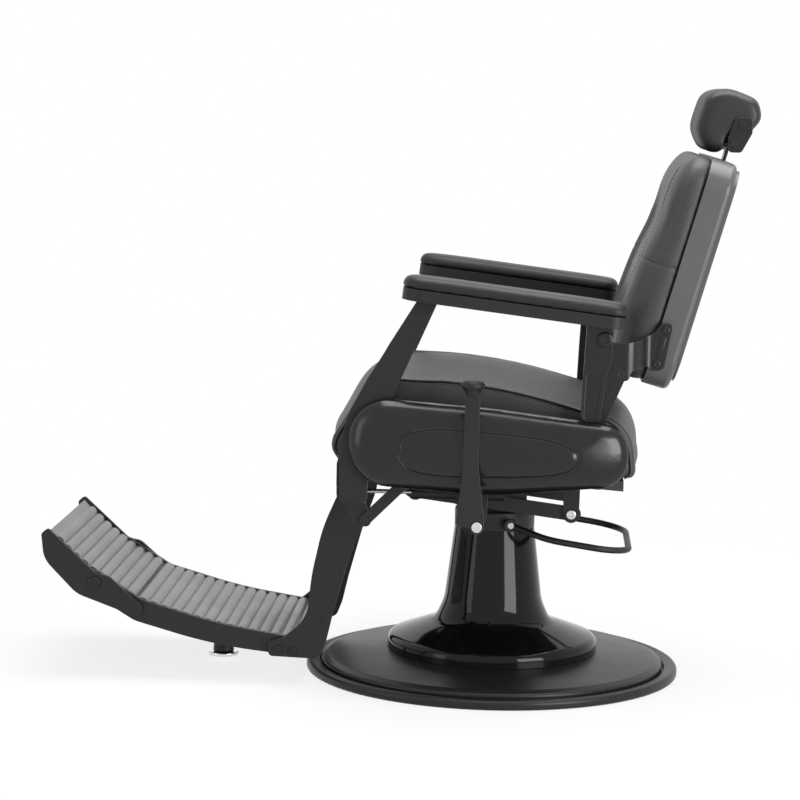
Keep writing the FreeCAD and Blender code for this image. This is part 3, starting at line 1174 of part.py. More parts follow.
def make_bumper():
    """Crossbar under the tread and the stubby floor stop below it."""
    share = tread_share(D.crossbar_y)
    half = D.crossbar_depth / 2 / math.dist((D.tread_rear_y, D.tread_rear_z),
                                            (D.tread_front_y, D.tread_front_z))
    under = -D.tread_thickness - D.soft_clearance
    thick = under - D.crossbar_thickness
    ends = [along(MAIN_PATH, share - half, under), along(MAIN_PATH, share + half, under),
            along(MAIN_PATH, share + half, thick), along(MAIN_PATH, share - half, thick)]
    bar = new_body("footrest_crossbar")
    pad(bar, "YZ_Plane", [(p.x, p.y, 0) for p in ends], f"2 * ({RAIL_INNER})", symmetric=True)
    keep(bar, "footrest_crossbar")
    seat = max(p.y for p in ends[2:])
    disc_top = D.bumper_z + D.bumper_thickness
    stem = turned("bumper_cone",
                  [(0, disc_top, 0), (D.stem_foot_radius, disc_top, 3), (D.stem_top_radius, seat, 0),
                   (0, seat, 0)])
    stem.Placement.Base = V(0, (ends[2].x + ends[3].x) / 2, 0)
    above = new_body("bumper_seat")
    rise = V(0, 2 * D.crossbar_depth, 0)
    pad(above, "YZ_Plane", [(p.x, p.y, 0) for p in (ends[3], ends[2], ends[2] + rise, ends[3] + rise)],
        "4 * dims.bumper_radius", symmetric=True)
    cut = DOC.addObject("Part::Cut", "bumper_stem")
    cut.Base = stem
    cut.Tool = above
    keep(cut, "bumper_stem")
    disc = turned("bumper_disc",
                  [(0, D.bumper_z, 0), (D.bumper_radius, D.bumper_z, 2), (D.bumper_radius, disc_top, 2),
                   (0, disc_top, 0)])
    disc.Placement.Base = stem.Placement.Base
    keep(disc, "bumper_disc")


def make_flap():
    """Hinged front flap of the footrest on two side plates that swing on the rails' noses."""
    lip, depth = D.footrest_rail_lip, D.flap_plate_depth
    tip_low, tip_high = along(FLAP_PATH, 1.03, -14), along(FLAP_PATH, 1.03, lip)
    belly = [along(FLAP_PATH, share, -depth + ease) for share, ease in ((0.85, 8), (0.45, 0))]
    brow = along(FLAP_PATH, 0.42, lip)
    tail = (D.flap_tail_y, D.flap_tail_z)
    shoulder = (D.flap_pivot_y + 26, D.flap_pivot_z + 14)
    corners = [(tip_high.x, tip_high.y, 6), (tip_low.x, tip_low.y, 8), (belly[0].x, belly[0].y, 50),
               (belly[1].x, belly[1].y, 60),
               (*tail, 10), (tail[0] + 4, tail[1] + 22, 8), (*shoulder, 24), (brow.x, brow.y, 18)]
    holes = [(FLAP_PIVOT, "dims.flap_bolt_radius")]
    plate_pair("flap_plates", corners, "dims.leg_x", "dims.flap_plate_thickness", holes)
    ribbed_tread("flap_tread", FLAP_PATH, int(D.flap_ribs), D.flap_strip,
                 f"{RAIL_INNER} - dims.footrest_gap")
    under = -D.tread_thickness - D.soft_clearance
    thick = under - D.crossbar_thickness
    shares = (D.flap_bar_share - D.flap_bar_half, D.flap_bar_share + D.flap_bar_half)
    ends = [along(FLAP_PATH, shares[0], under), along(FLAP_PATH, shares[1], under),
            along(FLAP_PATH, shares[1], thick), along(FLAP_PATH, shares[0], thick)]
    bar = new_body("flap_crossbar")
    pad(bar, "YZ_Plane", [(p.x, p.y, 0) for p in ends], "2 * dims.leg_x", symmetric=True)
    keep(bar, "flap_crossbar")
    bolts = [headed_pin(f"flap_bolt_{side}", "dims.flap_bolt_radius", "dims.flap_head_radius",
                        "dims.flap_head_height",
                        RAIL_INNER, "dims.leg_x + dims.flap_plate_thickness", FLAP_PIVOT, sign) for side,
                        sign in SIDES]
    group("flap_pivot_bolts", bolts)


def check_document():
    """Stop unless every object computed and every sub-part is a valid shape."""
    for piece in DOC.Objects:
        if "Invalid" in piece.State or "Error" in piece.State:
            raise RuntimeError(f"{piece.Label} did not compute: {piece.State}")
    for piece in NODES:
        if piece.Shape.isNull() or not piece.Shape.isValid() or not piece.Shape.Solids:
            raise RuntimeError(f"{piece.Label} is not a valid solid")


def export_nodes():
    os.makedirs("parts", exist_ok=True)
    for piece in NODES:
        piece.Shape.exportStep(f"parts/{piece.Label}.step")


make_base()
make_column()
make_pedal()
make_lift()
make_carrier()
make_seat()
make_side_frames()
make_arms()
make_side_panels()
make_lock()
make_lever()
make_back()
make_back_brackets()
make_tie_links()
make_headrest()
make_legs()
make_footrest()
make_flap()
DOC.recompute()
check_document()
export_nodes()
print(len(NODES), "nodes written")
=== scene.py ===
"""Looks of the reclining barber chair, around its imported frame. Metres, +Z up, the sitter faces -Y."""
import math
import bpy
import numpy as np
from mathutils import Matrix, Vector
from mathutils.kdtree import KDTree


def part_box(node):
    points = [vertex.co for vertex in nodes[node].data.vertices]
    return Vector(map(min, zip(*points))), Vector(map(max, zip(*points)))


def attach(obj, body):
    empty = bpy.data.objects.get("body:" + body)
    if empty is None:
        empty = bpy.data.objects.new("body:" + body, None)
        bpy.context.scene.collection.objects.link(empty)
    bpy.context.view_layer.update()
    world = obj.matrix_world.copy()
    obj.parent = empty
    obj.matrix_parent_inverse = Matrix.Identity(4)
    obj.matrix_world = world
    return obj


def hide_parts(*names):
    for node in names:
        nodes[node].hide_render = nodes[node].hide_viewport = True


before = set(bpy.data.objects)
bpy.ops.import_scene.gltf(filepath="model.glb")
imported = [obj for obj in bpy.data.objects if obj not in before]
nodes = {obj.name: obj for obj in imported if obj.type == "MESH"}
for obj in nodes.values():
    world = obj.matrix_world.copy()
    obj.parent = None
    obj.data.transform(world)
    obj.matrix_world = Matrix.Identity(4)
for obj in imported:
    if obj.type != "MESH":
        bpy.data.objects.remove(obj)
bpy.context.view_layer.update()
scene = bpy.context.scene
scene.view_settings.view_transform = "Standard"
bpy.ops.object.select_all(action="DESELECT")


# Round base: a steel floor plate with a rolled trim ring and a low spun dome, all in satin black
# paint. The ring is pressed over the plate's edge and the dome is bolted down from below.
def object_coordinates(tree):
    """Object coordinates inside a node tree."""
    return tree.nodes.new("ShaderNodeTexCoord").outputs["Object"]


def new_group(name, inputs, outputs):
    """Empty shader node group with named float inputs and outputs."""
    tree = bpy.data.node_groups.new(name, "ShaderNodeTree")
    for label, value in inputs.items():
        socket = tree.interface.new_socket(label, in_out="INPUT", socket_type="NodeSocketFloat")
        socket.default_value = value
    for label in outputs:
        kind = "NodeSocketVector" if label == "Normal" else "NodeSocketFloat"
        tree.interface.new_socket(label, in_out="OUTPUT", socket_type=kind)
    return tree, tree.nodes.new("NodeGroupInput"), tree.nodes.new("NodeGroupOutput")


def speckle_group():
    """Fine orange-peel of sprayed paint and powder coat."""
    tree, given, result = new_group("paint_speckle", {"Scale": 900.0}, ["Height"])
    noise = tree.nodes.new("ShaderNodeTexNoise")
    noise.inputs["Detail"].default_value = 3.0
    tree.links.new(object_coordinates(tree), noise.inputs["Vector"])
    tree.links.new(given.outputs["Scale"], noise.inputs["Scale"])
    tree.links.new(noise.outputs["Fac"], result.inputs["Height"])
    return tree


def handling_group():
    """Cloudy marks left by hands, cloths and dust, as a mask from 0 to 1."""
    tree, given, result = new_group("handling_marks", {"Scale": 6.0}, ["Mask"])
    broad = tree.nodes.new("ShaderNodeTexNoise")
    broad.inputs["Detail"].default_value = 6.0
    broad.inputs["Roughness"].default_value = 0.62
    span = tree.nodes.new("ShaderNodeMapRange")
    span.inputs["From Min"].default_value = 0.35
    span.inputs["From Max"].default_value = 0.7
    tree.links.new(object_coordinates(tree), broad.inputs["Vector"])
    tree.links.new(given.outputs["Scale"], broad.inputs["Scale"])
    tree.links.new(broad.outputs["Fac"], span.inputs["Value"])
    tree.links.new(span.outputs["Result"], result.inputs["Mask"])
    return tree


def edge_group():
    """Softened edges of painted metal: a rounded normal and a mask where the paint is rubbed thin."""
    tree, given, result = new_group("rubbed_edges", {"Radius": 0.0015}, ["Normal", "Wear"])
    bevel = tree.nodes.new("ShaderNodeBevel")
    bevel.samples = 4
    face = tree.nodes.new("ShaderNodeNewGeometry")
    turn = tree.nodes.new("ShaderNodeVectorMath")
    turn.operation = "DOT_PRODUCT"
    span = tree.nodes.new("ShaderNodeMapRange")
    span.inputs["From Min"].default_value = 0.995
    span.inputs["From Max"].default_value = 0.86
    tree.links.new(given.outputs["Radius"], bevel.inputs["Radius"])
    tree.links.new(bevel.outputs["Normal"], turn.inputs[0])
    tree.links.new(face.outputs["True Normal"], turn.inputs[1])
    tree.links.new(turn.outputs["Value"], span.inputs["Value"])
    tree.links.new(bevel.outputs["Normal"], result.inputs["Normal"])
    tree.links.new(span.outputs["Result"], result.inputs["Wear"])
    return tree


SPECKLE, MARKS, EDGES = speckle_group(), handling_group(), edge_group()


def place_group(tree, group, **values):
    """Instance of a shared group with its own values."""
    node = tree.nodes.new("ShaderNodeGroup")
    node.node_tree = group
    for label, value in values.items():
        node.inputs[label].default_value = value
    return node


def ramp(tree, source, low, high):
    """Value from low to high as a mask goes from 0 to 1."""
    span = tree.nodes.new("ShaderNodeMapRange")
    span.inputs["To Min"].default_value = low
    span.inputs["To Max"].default_value = high
    tree.links.new(source, span.inputs["Value"])
    return span.outputs["Result"]


def tint(tree, mask, plain, other):
    """Colour between two, by a mask."""
    mix = tree.nodes.new("ShaderNodeMix")
    mix.data_type = "RGBA"
    mix.inputs["A"].default_value = (*plain, 1)
    mix.inputs["B"].default_value = (*other, 1)
    tree.links.new(mask, mix.inputs["Factor"])
    return mix.outputs["Result"]


def painted(name, colour, rubbed, smooth, dull, speckle=0.05, metallic=0.0, marks=6.0, radius=0.0015,
            specular=0.5):
    """Painted metal: softened and slightly rubbed edges, fine speckle, cloudy gloss."""
    finish = bpy.data.materials.new(name)
    finish.use_nodes = True
    tree = finish.node_tree
    shader = tree.nodes["Principled BSDF"]
    shader.inputs["Metallic"].default_value = metallic
    shader.inputs["Specular IOR Level"].default_value = specular
    edges = place_group(tree, EDGES, Radius=radius)
    cloud = place_group(tree, MARKS, Scale=marks)
    grain = place_group(tree, SPECKLE)
    bump = tree.nodes.new("ShaderNodeBump")
    bump.inputs["Strength"].default_value = speckle
    bump.inputs["Distance"].default_value = 0.0004
    tree.links.new(edges.outputs["Normal"], bump.inputs["Normal"])
    tree.links.new(grain.outputs["Height"], bump.inputs["Height"])
    tree.links.new(bump.outputs["Normal"], shader.inputs["Normal"])
    tree.links.new(ramp(tree, cloud.outputs["Mask"], smooth, dull), shader.inputs["Roughness"])
    tree.links.new(tint(tree, edges.outputs["Wear"], colour, rubbed), shader.inputs["Base Color"])
    return finish


def dress(finish, *names):
    """Give carried-over CAD nodes their finish."""
    for name in names:
        nodes[name].data.materials.clear()
        nodes[name].data.materials.append(finish)


base_paint = painted("base_satin_black", (0.010, 0.010, 0.0105), (0.035, 0.035, 0.036), 0.30, 0.42,
                     marks=3.0, specular=0.25)
dress(base_paint, "base_plate", "base_trim_ring", "base_dome")


# Column cover: a spun trumpet in deep gloss black, slipped over the pump and seated on the dome.
# The pump inside is plain steel with a bronze bush, and its head is a black casting.
gloss = painted("column_gloss_black", (0.004, 0.004, 0.0043), (0.004, 0.004, 0.0043), 0.05, 0.10,
                speckle=0.01, marks=4.0, radius=0.0004, specular=0.2)
dress(gloss, "column_cover")


def steel(name, colour, smooth, dull):
    """Bare machined metal with turning marks, its edges a little brighter."""
    brighter = tuple(1.2 * part for part in colour)
    return painted(name, colour, brighter, smooth, dull, metallic=1.0, speckle=0.08, marks=20.0)


plain_steel = steel("machined_steel", (0.50, 0.50, 0.51), 0.22, 0.38)
dress(plain_steel, "pump_cylinder", "pump_ram", "thrust_bearing", "pedal_shaft", "headrest_guide",
      "lock_rod")
bronze = steel("bush_bronze", (0.50, 0.33, 0.14), 0.25, 0.4)
dress(bronze, "ram_bush")


# Frame: flat bars, plates and bent rod in satin black powder coat, bolted and welded together.
# The rubbed edges show a little lighter, as on bars that shoes and trolleys brush past. The posts,
# brackets and yoke of the back are castings with a smoother coat.
powder = painted("frame_powder_black", (0.010, 0.010, 0.011), (0.045, 0.045, 0.047), 0.38, 0.52,
                 speckle=0.12, specular=0.3)
dress(powder, "pump_head", "pump_pedal", "seat_mount_plate", "carrier_rails", "seat_ears",
      "seat_side_plates", "frame_spacers", "front_arm_bars", "lock_housing", "lock_bracket",
      "lever_hangers", "recline_lever", "tie_links", "cross_tube", "footrest_cranks", "footrest_legs",
      "main_rails", "footrest_crossbar", "bumper_stem", "flap_plates", "flap_crossbar")
casting = painted("bracket_casting_grey", (0.012, 0.012, 0.0125), (0.07, 0.07, 0.072), 0.20, 0.30,
                  speckle=0.08, metallic=0.2, specular=0.35)
dress(casting, "rear_arm_posts", "back_brackets", "headrest_yoke", "headrest_post")


# Bolts: turned socket-head screws, in blackened steel at the pivots, flanges and legs, and bright at
# the carrier's ears and the lever's shaft. Each is a head with a broken edge and a six-sided socket.
SMOOTH_ANGLE = math.radians(35)
SOCKET_SHARE, EDGE_SHARE = 0.5, 0.16


def select_only(piece):
    """Make one piece the only selected and the active one."""
    bpy.ops.object.select_all(action="DESELECT")
    piece.select_set(True)
    bpy.context.view_layer.objects.active = piece


def modify(piece, kind, **settings):
    """Add a modifier with its settings and apply it."""
    modifier = piece.modifiers.new(kind.title(), kind)
    for name, value in settings.items():
        setattr(modifier, name, value)
    bpy.ops.object.modifier_apply(modifier=modifier.name)


def joined(name, pieces):
    """Several pieces as one object."""
    bpy.ops.object.select_all(action="DESELECT")
    for piece in pieces:
        piece.select_set(True)
    bpy.context.view_layer.objects.active = pieces[0]
    bpy.ops.object.join()
    pieces[0].name = name
    return pieces[0]


def copies(name, pattern, turns):
    """Copies of a piece, each with its own mesh moved by its own matrix, joined; the pattern goes."""
    made = []
    for turn in turns:
        copy = bpy.data.objects.new(name, pattern.data.copy())
        copy.data.transform(turn)
        scene.collection.objects.link(copy)
        made.append(copy)
    bpy.data.objects.remove(pattern)
    return joined(name, made)


def socket_head(radius, height):
    """One screw head along +Z under the origin, its edge broken and its socket six-sided."""
    bpy.ops.object.select_all(action="DESELECT")
    bpy.ops.mesh.primitive_cylinder_add(vertices=6, radius=SOCKET_SHARE * radius, depth=height)
    key = bpy.context.object
    bpy.ops.mesh.primitive_cylinder_add(vertices=32, radius=radius, depth=height)
    head = bpy.context.object
    select_only(head)
    bpy.ops.object.mode_set(mode="EDIT")
    bpy.ops.mesh.select_all(action="SELECT")
    bpy.ops.transform.translate(value=(0, 0, -height / 2))
    bpy.ops.object.mode_set(mode="OBJECT")
    modify(head, "BEVEL", width=EDGE_SHARE * radius, segments=2, limit_method="ANGLE")
    modify(head, "BOOLEAN", object=key, operation="DIFFERENCE")
    bpy.data.objects.remove(key)
    return head


def socket_screws(name, spots, radius, height, finish, body, node=None):
    """Screw heads at (place, outward direction) spots as one piece."""
    turns = [Matrix.Translation(Vector(place)) @ Vector(aim).to_track_quat("Z", "Y").to_matrix().to_4x4()
             for place, aim in spots]
    screws = copies(name, socket_head(radius, height), turns)
    bpy.ops.object.shade_smooth_by_angle(angle=SMOOTH_ANGLE)
    screws.data.materials.clear()
    screws.data.materials.append(finish)
    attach(screws, body)
    if node:
        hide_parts(node)


def both_sides(x, *places):
    """The same (Y, Z) places on both sides of the chair, facing outwards."""
    return [((sign * x, y, z), (sign, 0, 0)) for sign in (1, -1) for y, z in places]


bright = steel("bright_bolt_steel", (0.62, 0.62, 0.63), 0.18, 0.3)
dress(bright, "lever_shaft")
dark_bolts = steel("blackened_bolt_steel", (0.035, 0.035, 0.037), 0.28, 0.42)
dress(dark_bolts, "link_pins", "headrest_screws")
EAR_SPOTS = both_sides(0.126, (-0.145, 0.3538), (0.142, 0.3186))
socket_screws("ear_bolt_heads", EAR_SPOTS, 0.009, 0.006, bright, "seat", "ear_bolts")
PIVOT_SPOTS = both_sides(0.306, (0.191, 0.659))
socket_screws("pivot_bolt_heads", PIVOT_SPOTS, 0.014, 0.005, dark_bolts, "seat", "pivot_bolts")
FLANGE_TOP, FLANGE_FOOT = (0.299, 0.674), (0.284, 0.614)
FLANGE_SPOTS = both_sides(0.258, FLANGE_TOP, FLANGE_FOOT)
socket_screws("bracket_screw_heads", FLANGE_SPOTS, 0.007, 0.004, dark_bolts, "backrest",
              "bracket_screws")
FOOT_SPOTS = both_sides(0.201, (-0.388, 0.066), (-0.360, 0.064))
socket_screws("foot_bolt_heads", FOOT_SPOTS, 0.008, 0.004, dark_bolts, "footrest",
              "footrest_bolts")
FLAP_SPOTS = both_sides(0.199, (-0.727, 0.179))
socket_screws("flap_bolt_heads", FLAP_SPOTS, 0.012, 0.005, dark_bolts, "flap",
              "flap_pivot_bolts")
LEG_SPOTS = both_sides(0.1985, (-0.2667, 0.3316), (-0.3072, 0.1217))
socket_screws("leg_screws", LEG_SPOTS, 0.005, 0.0015, dark_bolts, "footrest")


# Cover strips on the back brackets' flanges: narrow ribs cast with the flange, one between the two
# screws of each, in the same coat as the bracket.
RIB_SIZE, RIB_EDGE = (0.003, 0.038, 0.010), 0.0014
RIB_X, RIB_Y, RIB_Z = 0.2545, 0.2915, 0.644
RIB_TILT = math.atan2(FLANGE_TOP[1] - FLANGE_FOOT[1], FLANGE_TOP[0] - FLANGE_FOOT[0])


def rounded_bar(size, edge, segments):
    """One bar round the origin with its edges rounded."""
    bpy.ops.object.select_all(action="DESELECT")
    bpy.ops.mesh.primitive_cube_add(size=1)
    bar = bpy.context.object
    bpy.ops.object.mode_set(mode="EDIT")
    bpy.ops.mesh.select_all(action="SELECT")
    bpy.ops.transform.resize(value=size)
    bpy.ops.object.mode_set(mode="OBJECT")
    modify(bar, "BEVEL", width=edge, segments=segments, limit_method="ANGLE")
    return bar


rib_tilt = Matrix.Rotation(RIB_TILT, 4, "X")
rib_turns = [Matrix.Translation((sign * RIB_X, RIB_Y, RIB_Z)) @ rib_tilt for sign in (1, -1)]
ribs = copies("flange_ribs", rounded_bar(RIB_SIZE, RIB_EDGE, 3), rib_turns)
bpy.ops.object.shade_smooth_by_angle(angle=SMOOTH_ANGLE)
ribs.data.materials.clear()
ribs.data.materials.append(casting)
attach(ribs, "backrest")


# Seat board and the boards behind the side panels: plywood, stained black, hardly seen from outside.
# The plies lie flat, so the grain runs along the board.
def plywood():
    """Stained plywood with its grain along the board."""
    finish = bpy.data.materials.new("stained_plywood")
    finish.use_nodes = True
    tree = finish.node_tree
    shader = tree.nodes["Principled BSDF"]
    shader.inputs["Roughness"].default_value = 0.6
    stretch = tree.nodes.new("ShaderNodeMapping")
    stretch.inputs["Scale"].default_value = (40, 3, 40)
    rings = tree.nodes.new("ShaderNodeTexNoise")
    rings.inputs["Scale"].default_value = 2.0
    rings.inputs["Detail"].default_value = 5.0
    tree.links.new(object_coordinates(tree), stretch.inputs["Vector"])
    tree.links.new(stretch.outputs["Vector"], rings.inputs["Vector"])
    colour = tint(tree, rings.outputs["Fac"], (0.012, 0.011, 0.010), (0.022, 0.019, 0.016))
    tree.links.new(colour, shader.inputs["Base Color"])
    return finish


dress(plywood(), "seat_base", "panel_boards")


# Seat cushion: moulded foam under a black leather cover, stapled round the seat board. The cover's top
# panel is sewn to two side panels, with a piped edge and a row of stitches along each seam.
def leather_group():
    """Pebbled leather grain: a height, and a mask of the creases between the pebbles, used to paint shade
    into them.
    """
    tree, given, result = new_group("leather_grain", {"Scale": 420.0}, ["Height", "Crease_shade"])
    warp = tree.nodes.new("ShaderNodeTexNoise")
    warp.inputs["Scale"].default_value = 60.0
    pebble = tree.nodes.new("ShaderNodeTexVoronoi")
    pebble.feature = "SMOOTH_F1"
    pebble.inputs["Smoothness"].default_value = 0.4
    shift = tree.nodes.new("ShaderNodeMix")
    shift.data_type = "VECTOR"
    shift.inputs["Factor"].default_value = 0.004
    pore = tree.nodes.new("ShaderNodeTexNoise")
    pore.inputs["Scale"].default_value = 1400.0
    total = tree.nodes.new("ShaderNodeMath")
    total.operation = "MULTIPLY_ADD"
    total.inputs[1].default_value = 0.35
    place = object_coordinates(tree)
    tree.links.new(place, warp.inputs["Vector"])
    tree.links.new(place, pore.inputs["Vector"])
    tree.links.new(place, shift.inputs["A"])
    tree.links.new(warp.outputs["Color"], shift.inputs["B"])
    tree.links.new(shift.outputs["Result"], pebble.inputs["Vector"])
    tree.links.new(given.outputs["Scale"], pebble.inputs["Scale"])
    low = ramp(tree, pebble.outputs["Distance"], 1.0, 0.0)
    tree.links.new(pore.outputs["Fac"], total.inputs[0])
    tree.links.new(low, total.inputs[2])
    tree.links.new(total.outputs["Value"], result.inputs["Height"])
    # The crease mask carries painted shade: it darkens the colour in the hollows between the pebbles.
    tree.links.new(pebble.outputs["Distance"], result.inputs["Crease_shade"])
    return tree


LEATHER = leather_group()


def hide(name, colour, crease_shade, smooth, dull, grain=420.0, depth=0.25, marks=5.0, specular=0.45):
    """Leather or vinyl: pebbled bump, painted shade in the creases, gloss that varies with wear."""
    finish = bpy.data.materials.new(name)
    finish.use_nodes = True
    tree = finish.node_tree
    shader = tree.nodes["Principled BSDF"]
    shader.inputs["Specular IOR Level"].default_value = specular
    skin = place_group(tree, LEATHER, Scale=grain)
    cloud = place_group(tree, MARKS, Scale=marks)
    bump = tree.nodes.new("ShaderNodeBump")
    bump.inputs["Strength"].default_value = depth
    bump.inputs["Distance"].default_value = 0.0006
    tree.links.new(skin.outputs["Height"], bump.inputs["Height"])
    tree.links.new(bump.outputs["Normal"], shader.inputs["Normal"])
    tree.links.new(ramp(tree, cloud.outputs["Mask"], smooth, dull), shader.inputs["Roughness"])
    # Painted shade: the second colour darkens the creases between the pebbles.
    tree.links.new(tint(tree, skin.outputs["Crease_shade"], colour, crease_shade), shader.inputs["Base Color"])
    return finish


# The second colour of each hide below is the painted shade in its creases.
seat_leather = hide("seat_leather_black", (0.023, 0.023, 0.024), (0.012, 0.012, 0.013), 0.42, 0.58)
SIM_FRAMES, PRESSURE, EVEN_ROUNDS = 20, 4.0, 150
HELD_FACING = 0.75


def points_of(piece):
    """Vertices of a piece as an array, with their normals."""
    mesh = piece.data
    places = np.empty(3 * len(mesh.vertices), np.float32)
    mesh.vertices.foreach_get("co", places)
    normals = np.empty_like(places)
    mesh.vertices.foreach_get("normal", normals)
    return places.reshape(-1, 3), normals.reshape(-1, 3)


def put_points(piece, places):
    """Move a piece's vertices to new places."""
    piece.data.vertices.foreach_set("co", places.astype(np.float32).ravel())
    piece.data.update()


def evened(piece, values):
    """Values on a piece's vertices, evened out over their neighbours."""
    size = len(values)
    ends = np.empty(2 * len(piece.data.edges), np.int64)
    piece.data.edges.foreach_get("vertices", ends)
    first, second = ends[::2], ends[1::2]
    count = np.bincount(ends, minlength=size)
    for _ in range(EVEN_ROUNDS):
        total = np.bincount(first, values[second], size) + np.bincount(second, values[first], size)
        values = 0.5 * values + 0.5 * total / np.maximum(count, 1)
    return values


def swell(piece, held, cap):
    """Let the stuffing push the cover out, held where it is fixed, by no more than the cap."""
    start, facing = points_of(piece)
    group = piece.vertex_groups.new(name="held")
    group.add([int(index) for index in np.flatnonzero(held)], 1.0, "REPLACE")
    cloth = piece.modifiers.new("Cloth", "CLOTH")
    cloth.settings.use_pressure = True
    cloth.settings.uniform_pressure_force = PRESSURE
    cloth.settings.effector_weights.gravity = 0
    cloth.settings.vertex_group_mass = group.name
    cloth.point_cache.frame_start = 1
    cloth.point_cache.frame_end = SIM_FRAMES
    for moment in range(1, SIM_FRAMES + 1):
        scene.frame_set(moment)
    bpy.ops.object.modifier_apply(modifier=cloth.name)
    scene.frame_set(1)
    end, _ = points_of(piece)
    rise = np.clip(np.einsum("ij,ij->i", end - start, facing), 0, cap)
    put_points(piece, start + facing * evened(piece, rise)[:, None])
    piece.vertex_groups.clear()


def upholster(node, name, fixed_side, shrink, cap, voxel, ease=4):
    """Padded piece from its CAD solid: remeshed, drawn in, swollen under its cover and smoothed."""
    piece = bpy.data.objects.new(name, nodes[node].data.copy())
    scene.collection.objects.link(piece)
    select_only(piece)
    piece.data.materials.clear()
    bpy.ops.object.mode_set(mode="EDIT")
    bpy.ops.mesh.select_all(action="SELECT")
    bpy.ops.mesh.remove_doubles(threshold=1e-5)
    bpy.ops.object.mode_set(mode="OBJECT")
    modify(piece, "REMESH", mode="VOXEL", voxel_size=voxel)
    modify(piece, "SMOOTH", factor=0.5, iterations=ease)
    modify(piece, "DISPLACE", strength=-shrink, mid_level=0.0)
    _, normals = points_of(piece)
    swell(piece, normals @ np.array(fixed_side) > HELD_FACING, cap)
    modify(piece, "SMOOTH", factor=0.5, iterations=3)
    modify(piece, "SUBSURF", levels=1, render_levels=1)
    bpy.ops.object.shade_smooth()
    return piece


def finish_pad(piece, node, body, finish):
    piece.data.materials.append(finish)
    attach(piece, body)
    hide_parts(node)


def land(piece, starts, aims):
    """Points and normals where rays from the starts along the aims first meet a piece."""
    found = []
    for start, aim in zip(starts, aims):
        hit, place, normal, _ = piece.ray_cast(Vector(start), Vector(aim))
        if hit:
            found.append((place, normal))
    return [Vector(p) for p, _ in found], [Vector(n) for _, n in found]


def groove(piece, path, depth, width):
    """Press a sewn seam into a padded piece along a path on its surface."""
    tree = KDTree(len(path))
    for index, point in enumerate(path):
        tree.insert(point, index)
    tree.balance()
    places, normals = points_of(piece)
    reach = 3 * width
    for index, place in enumerate(places):
        _, _, gap = tree.find(place)
        if gap < reach:
            places[index] = place - normals[index] * depth * math.exp(-(gap / width) ** 2)
    put_points(piece, places)


THREAD_LENGTH, THREAD_WIDTH, THREAD_PITCH, THREAD_PROUD = 0.0052, 0.0011, 0.0075, 0.1


def thread_finish():
    """Bonded nylon thread: dark, slightly shiny, twisted along its length."""
    finish = bpy.data.materials.new("bonded_thread")
    finish.use_nodes = True
    tree = finish.node_tree
    shader = tree.nodes["Principled BSDF"]
    twist = place_group(tree, SPECKLE, Scale=2500.0)
    bump = tree.nodes.new("ShaderNodeBump")
    bump.inputs["Distance"].default_value = 0.0002
    tree.links.new(twist.outputs["Height"], bump.inputs["Height"])
    tree.links.new(bump.outputs["Normal"], shader.inputs["Normal"])
    tree.links.new(ramp(tree, twist.outputs["Height"], 0.35, 0.55), shader.inputs["Roughness"])
    tree.links.new(tint(tree, twist.outputs["Height"], (0.03, 0.03, 0.031), (0.06, 0.06, 0.062)),
                   shader.inputs["Base Color"])
    return finish


thread = thread_finish()


def one_stitch():
    """A single stitch: a short round loaf of thread with tapered ends, lying along X."""
    bpy.ops.object.select_all(action="DESELECT")
    bpy.ops.mesh.primitive_uv_sphere_add(segments=8, ring_count=6, radius=0.5)
    loaf = bpy.context.object
    bpy.ops.object.mode_set(mode="EDIT")
    bpy.ops.mesh.select_all(action="SELECT")
    bpy.ops.transform.rotate(value=math.pi / 2, orient_axis="Y", center_override=(0, 0, 0))
    bpy.ops.transform.resize(value=(THREAD_LENGTH, THREAD_WIDTH, THREAD_WIDTH))
    bpy.ops.object.mode_set(mode="OBJECT")
    bpy.ops.object.shade_smooth()
    return loaf


def stitch_row(name, path, normals, offset, body):
    """Row of stitches beside a seam, each with its own mesh, joined into one piece."""
    turns = []
    walked = THREAD_PITCH
    for here, ahead, normal in zip(path, path[1:], normals):
        step = ahead - here
        walked += step.length
        if walked < THREAD_PITCH or step.length < 1e-6:
            continue
        walked = 0.0
        along = step.normalized()
        side = normal.cross(along).normalized()
        turn = Matrix((along, side, along.cross(side))).transposed().to_4x4()
        place = here + side * offset + normal * THREAD_PROUD * THREAD_WIDTH
        turns.append(Matrix.Translation(place) @ turn)
    seam = copies(name, one_stitch(), turns)
    seam.data.materials.clear()
    seam.data.materials.append(thread)
    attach(seam, body)


seat_low, seat_high = (Vector(corner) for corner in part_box("seat_cushion"))
seat_middle = (seat_low + seat_high) / 2
seat = upholster("seat_cushion", "seat_cover", (0, 0, -1), shrink=0.004, cap=0.008, voxel=0.0065)
SLICES, EVEN_SPAN, EVEN_FADE, END_FACING = 120, 0.93, 0.10, 0.9
SLICE_WIDTH = 2.5 * 2 * math.pi / SLICES


def crown_terms(turn, across):
    """Terms of a crown from side to side whose outline also bends a little within a slice."""
    side = across ** 2
    bends = [np.ones_like(turn), turn, turn ** 2, turn ** 3]
    return np.stack(bends + [side, side * turn, side * turn ** 2, side ** 2], axis=1)


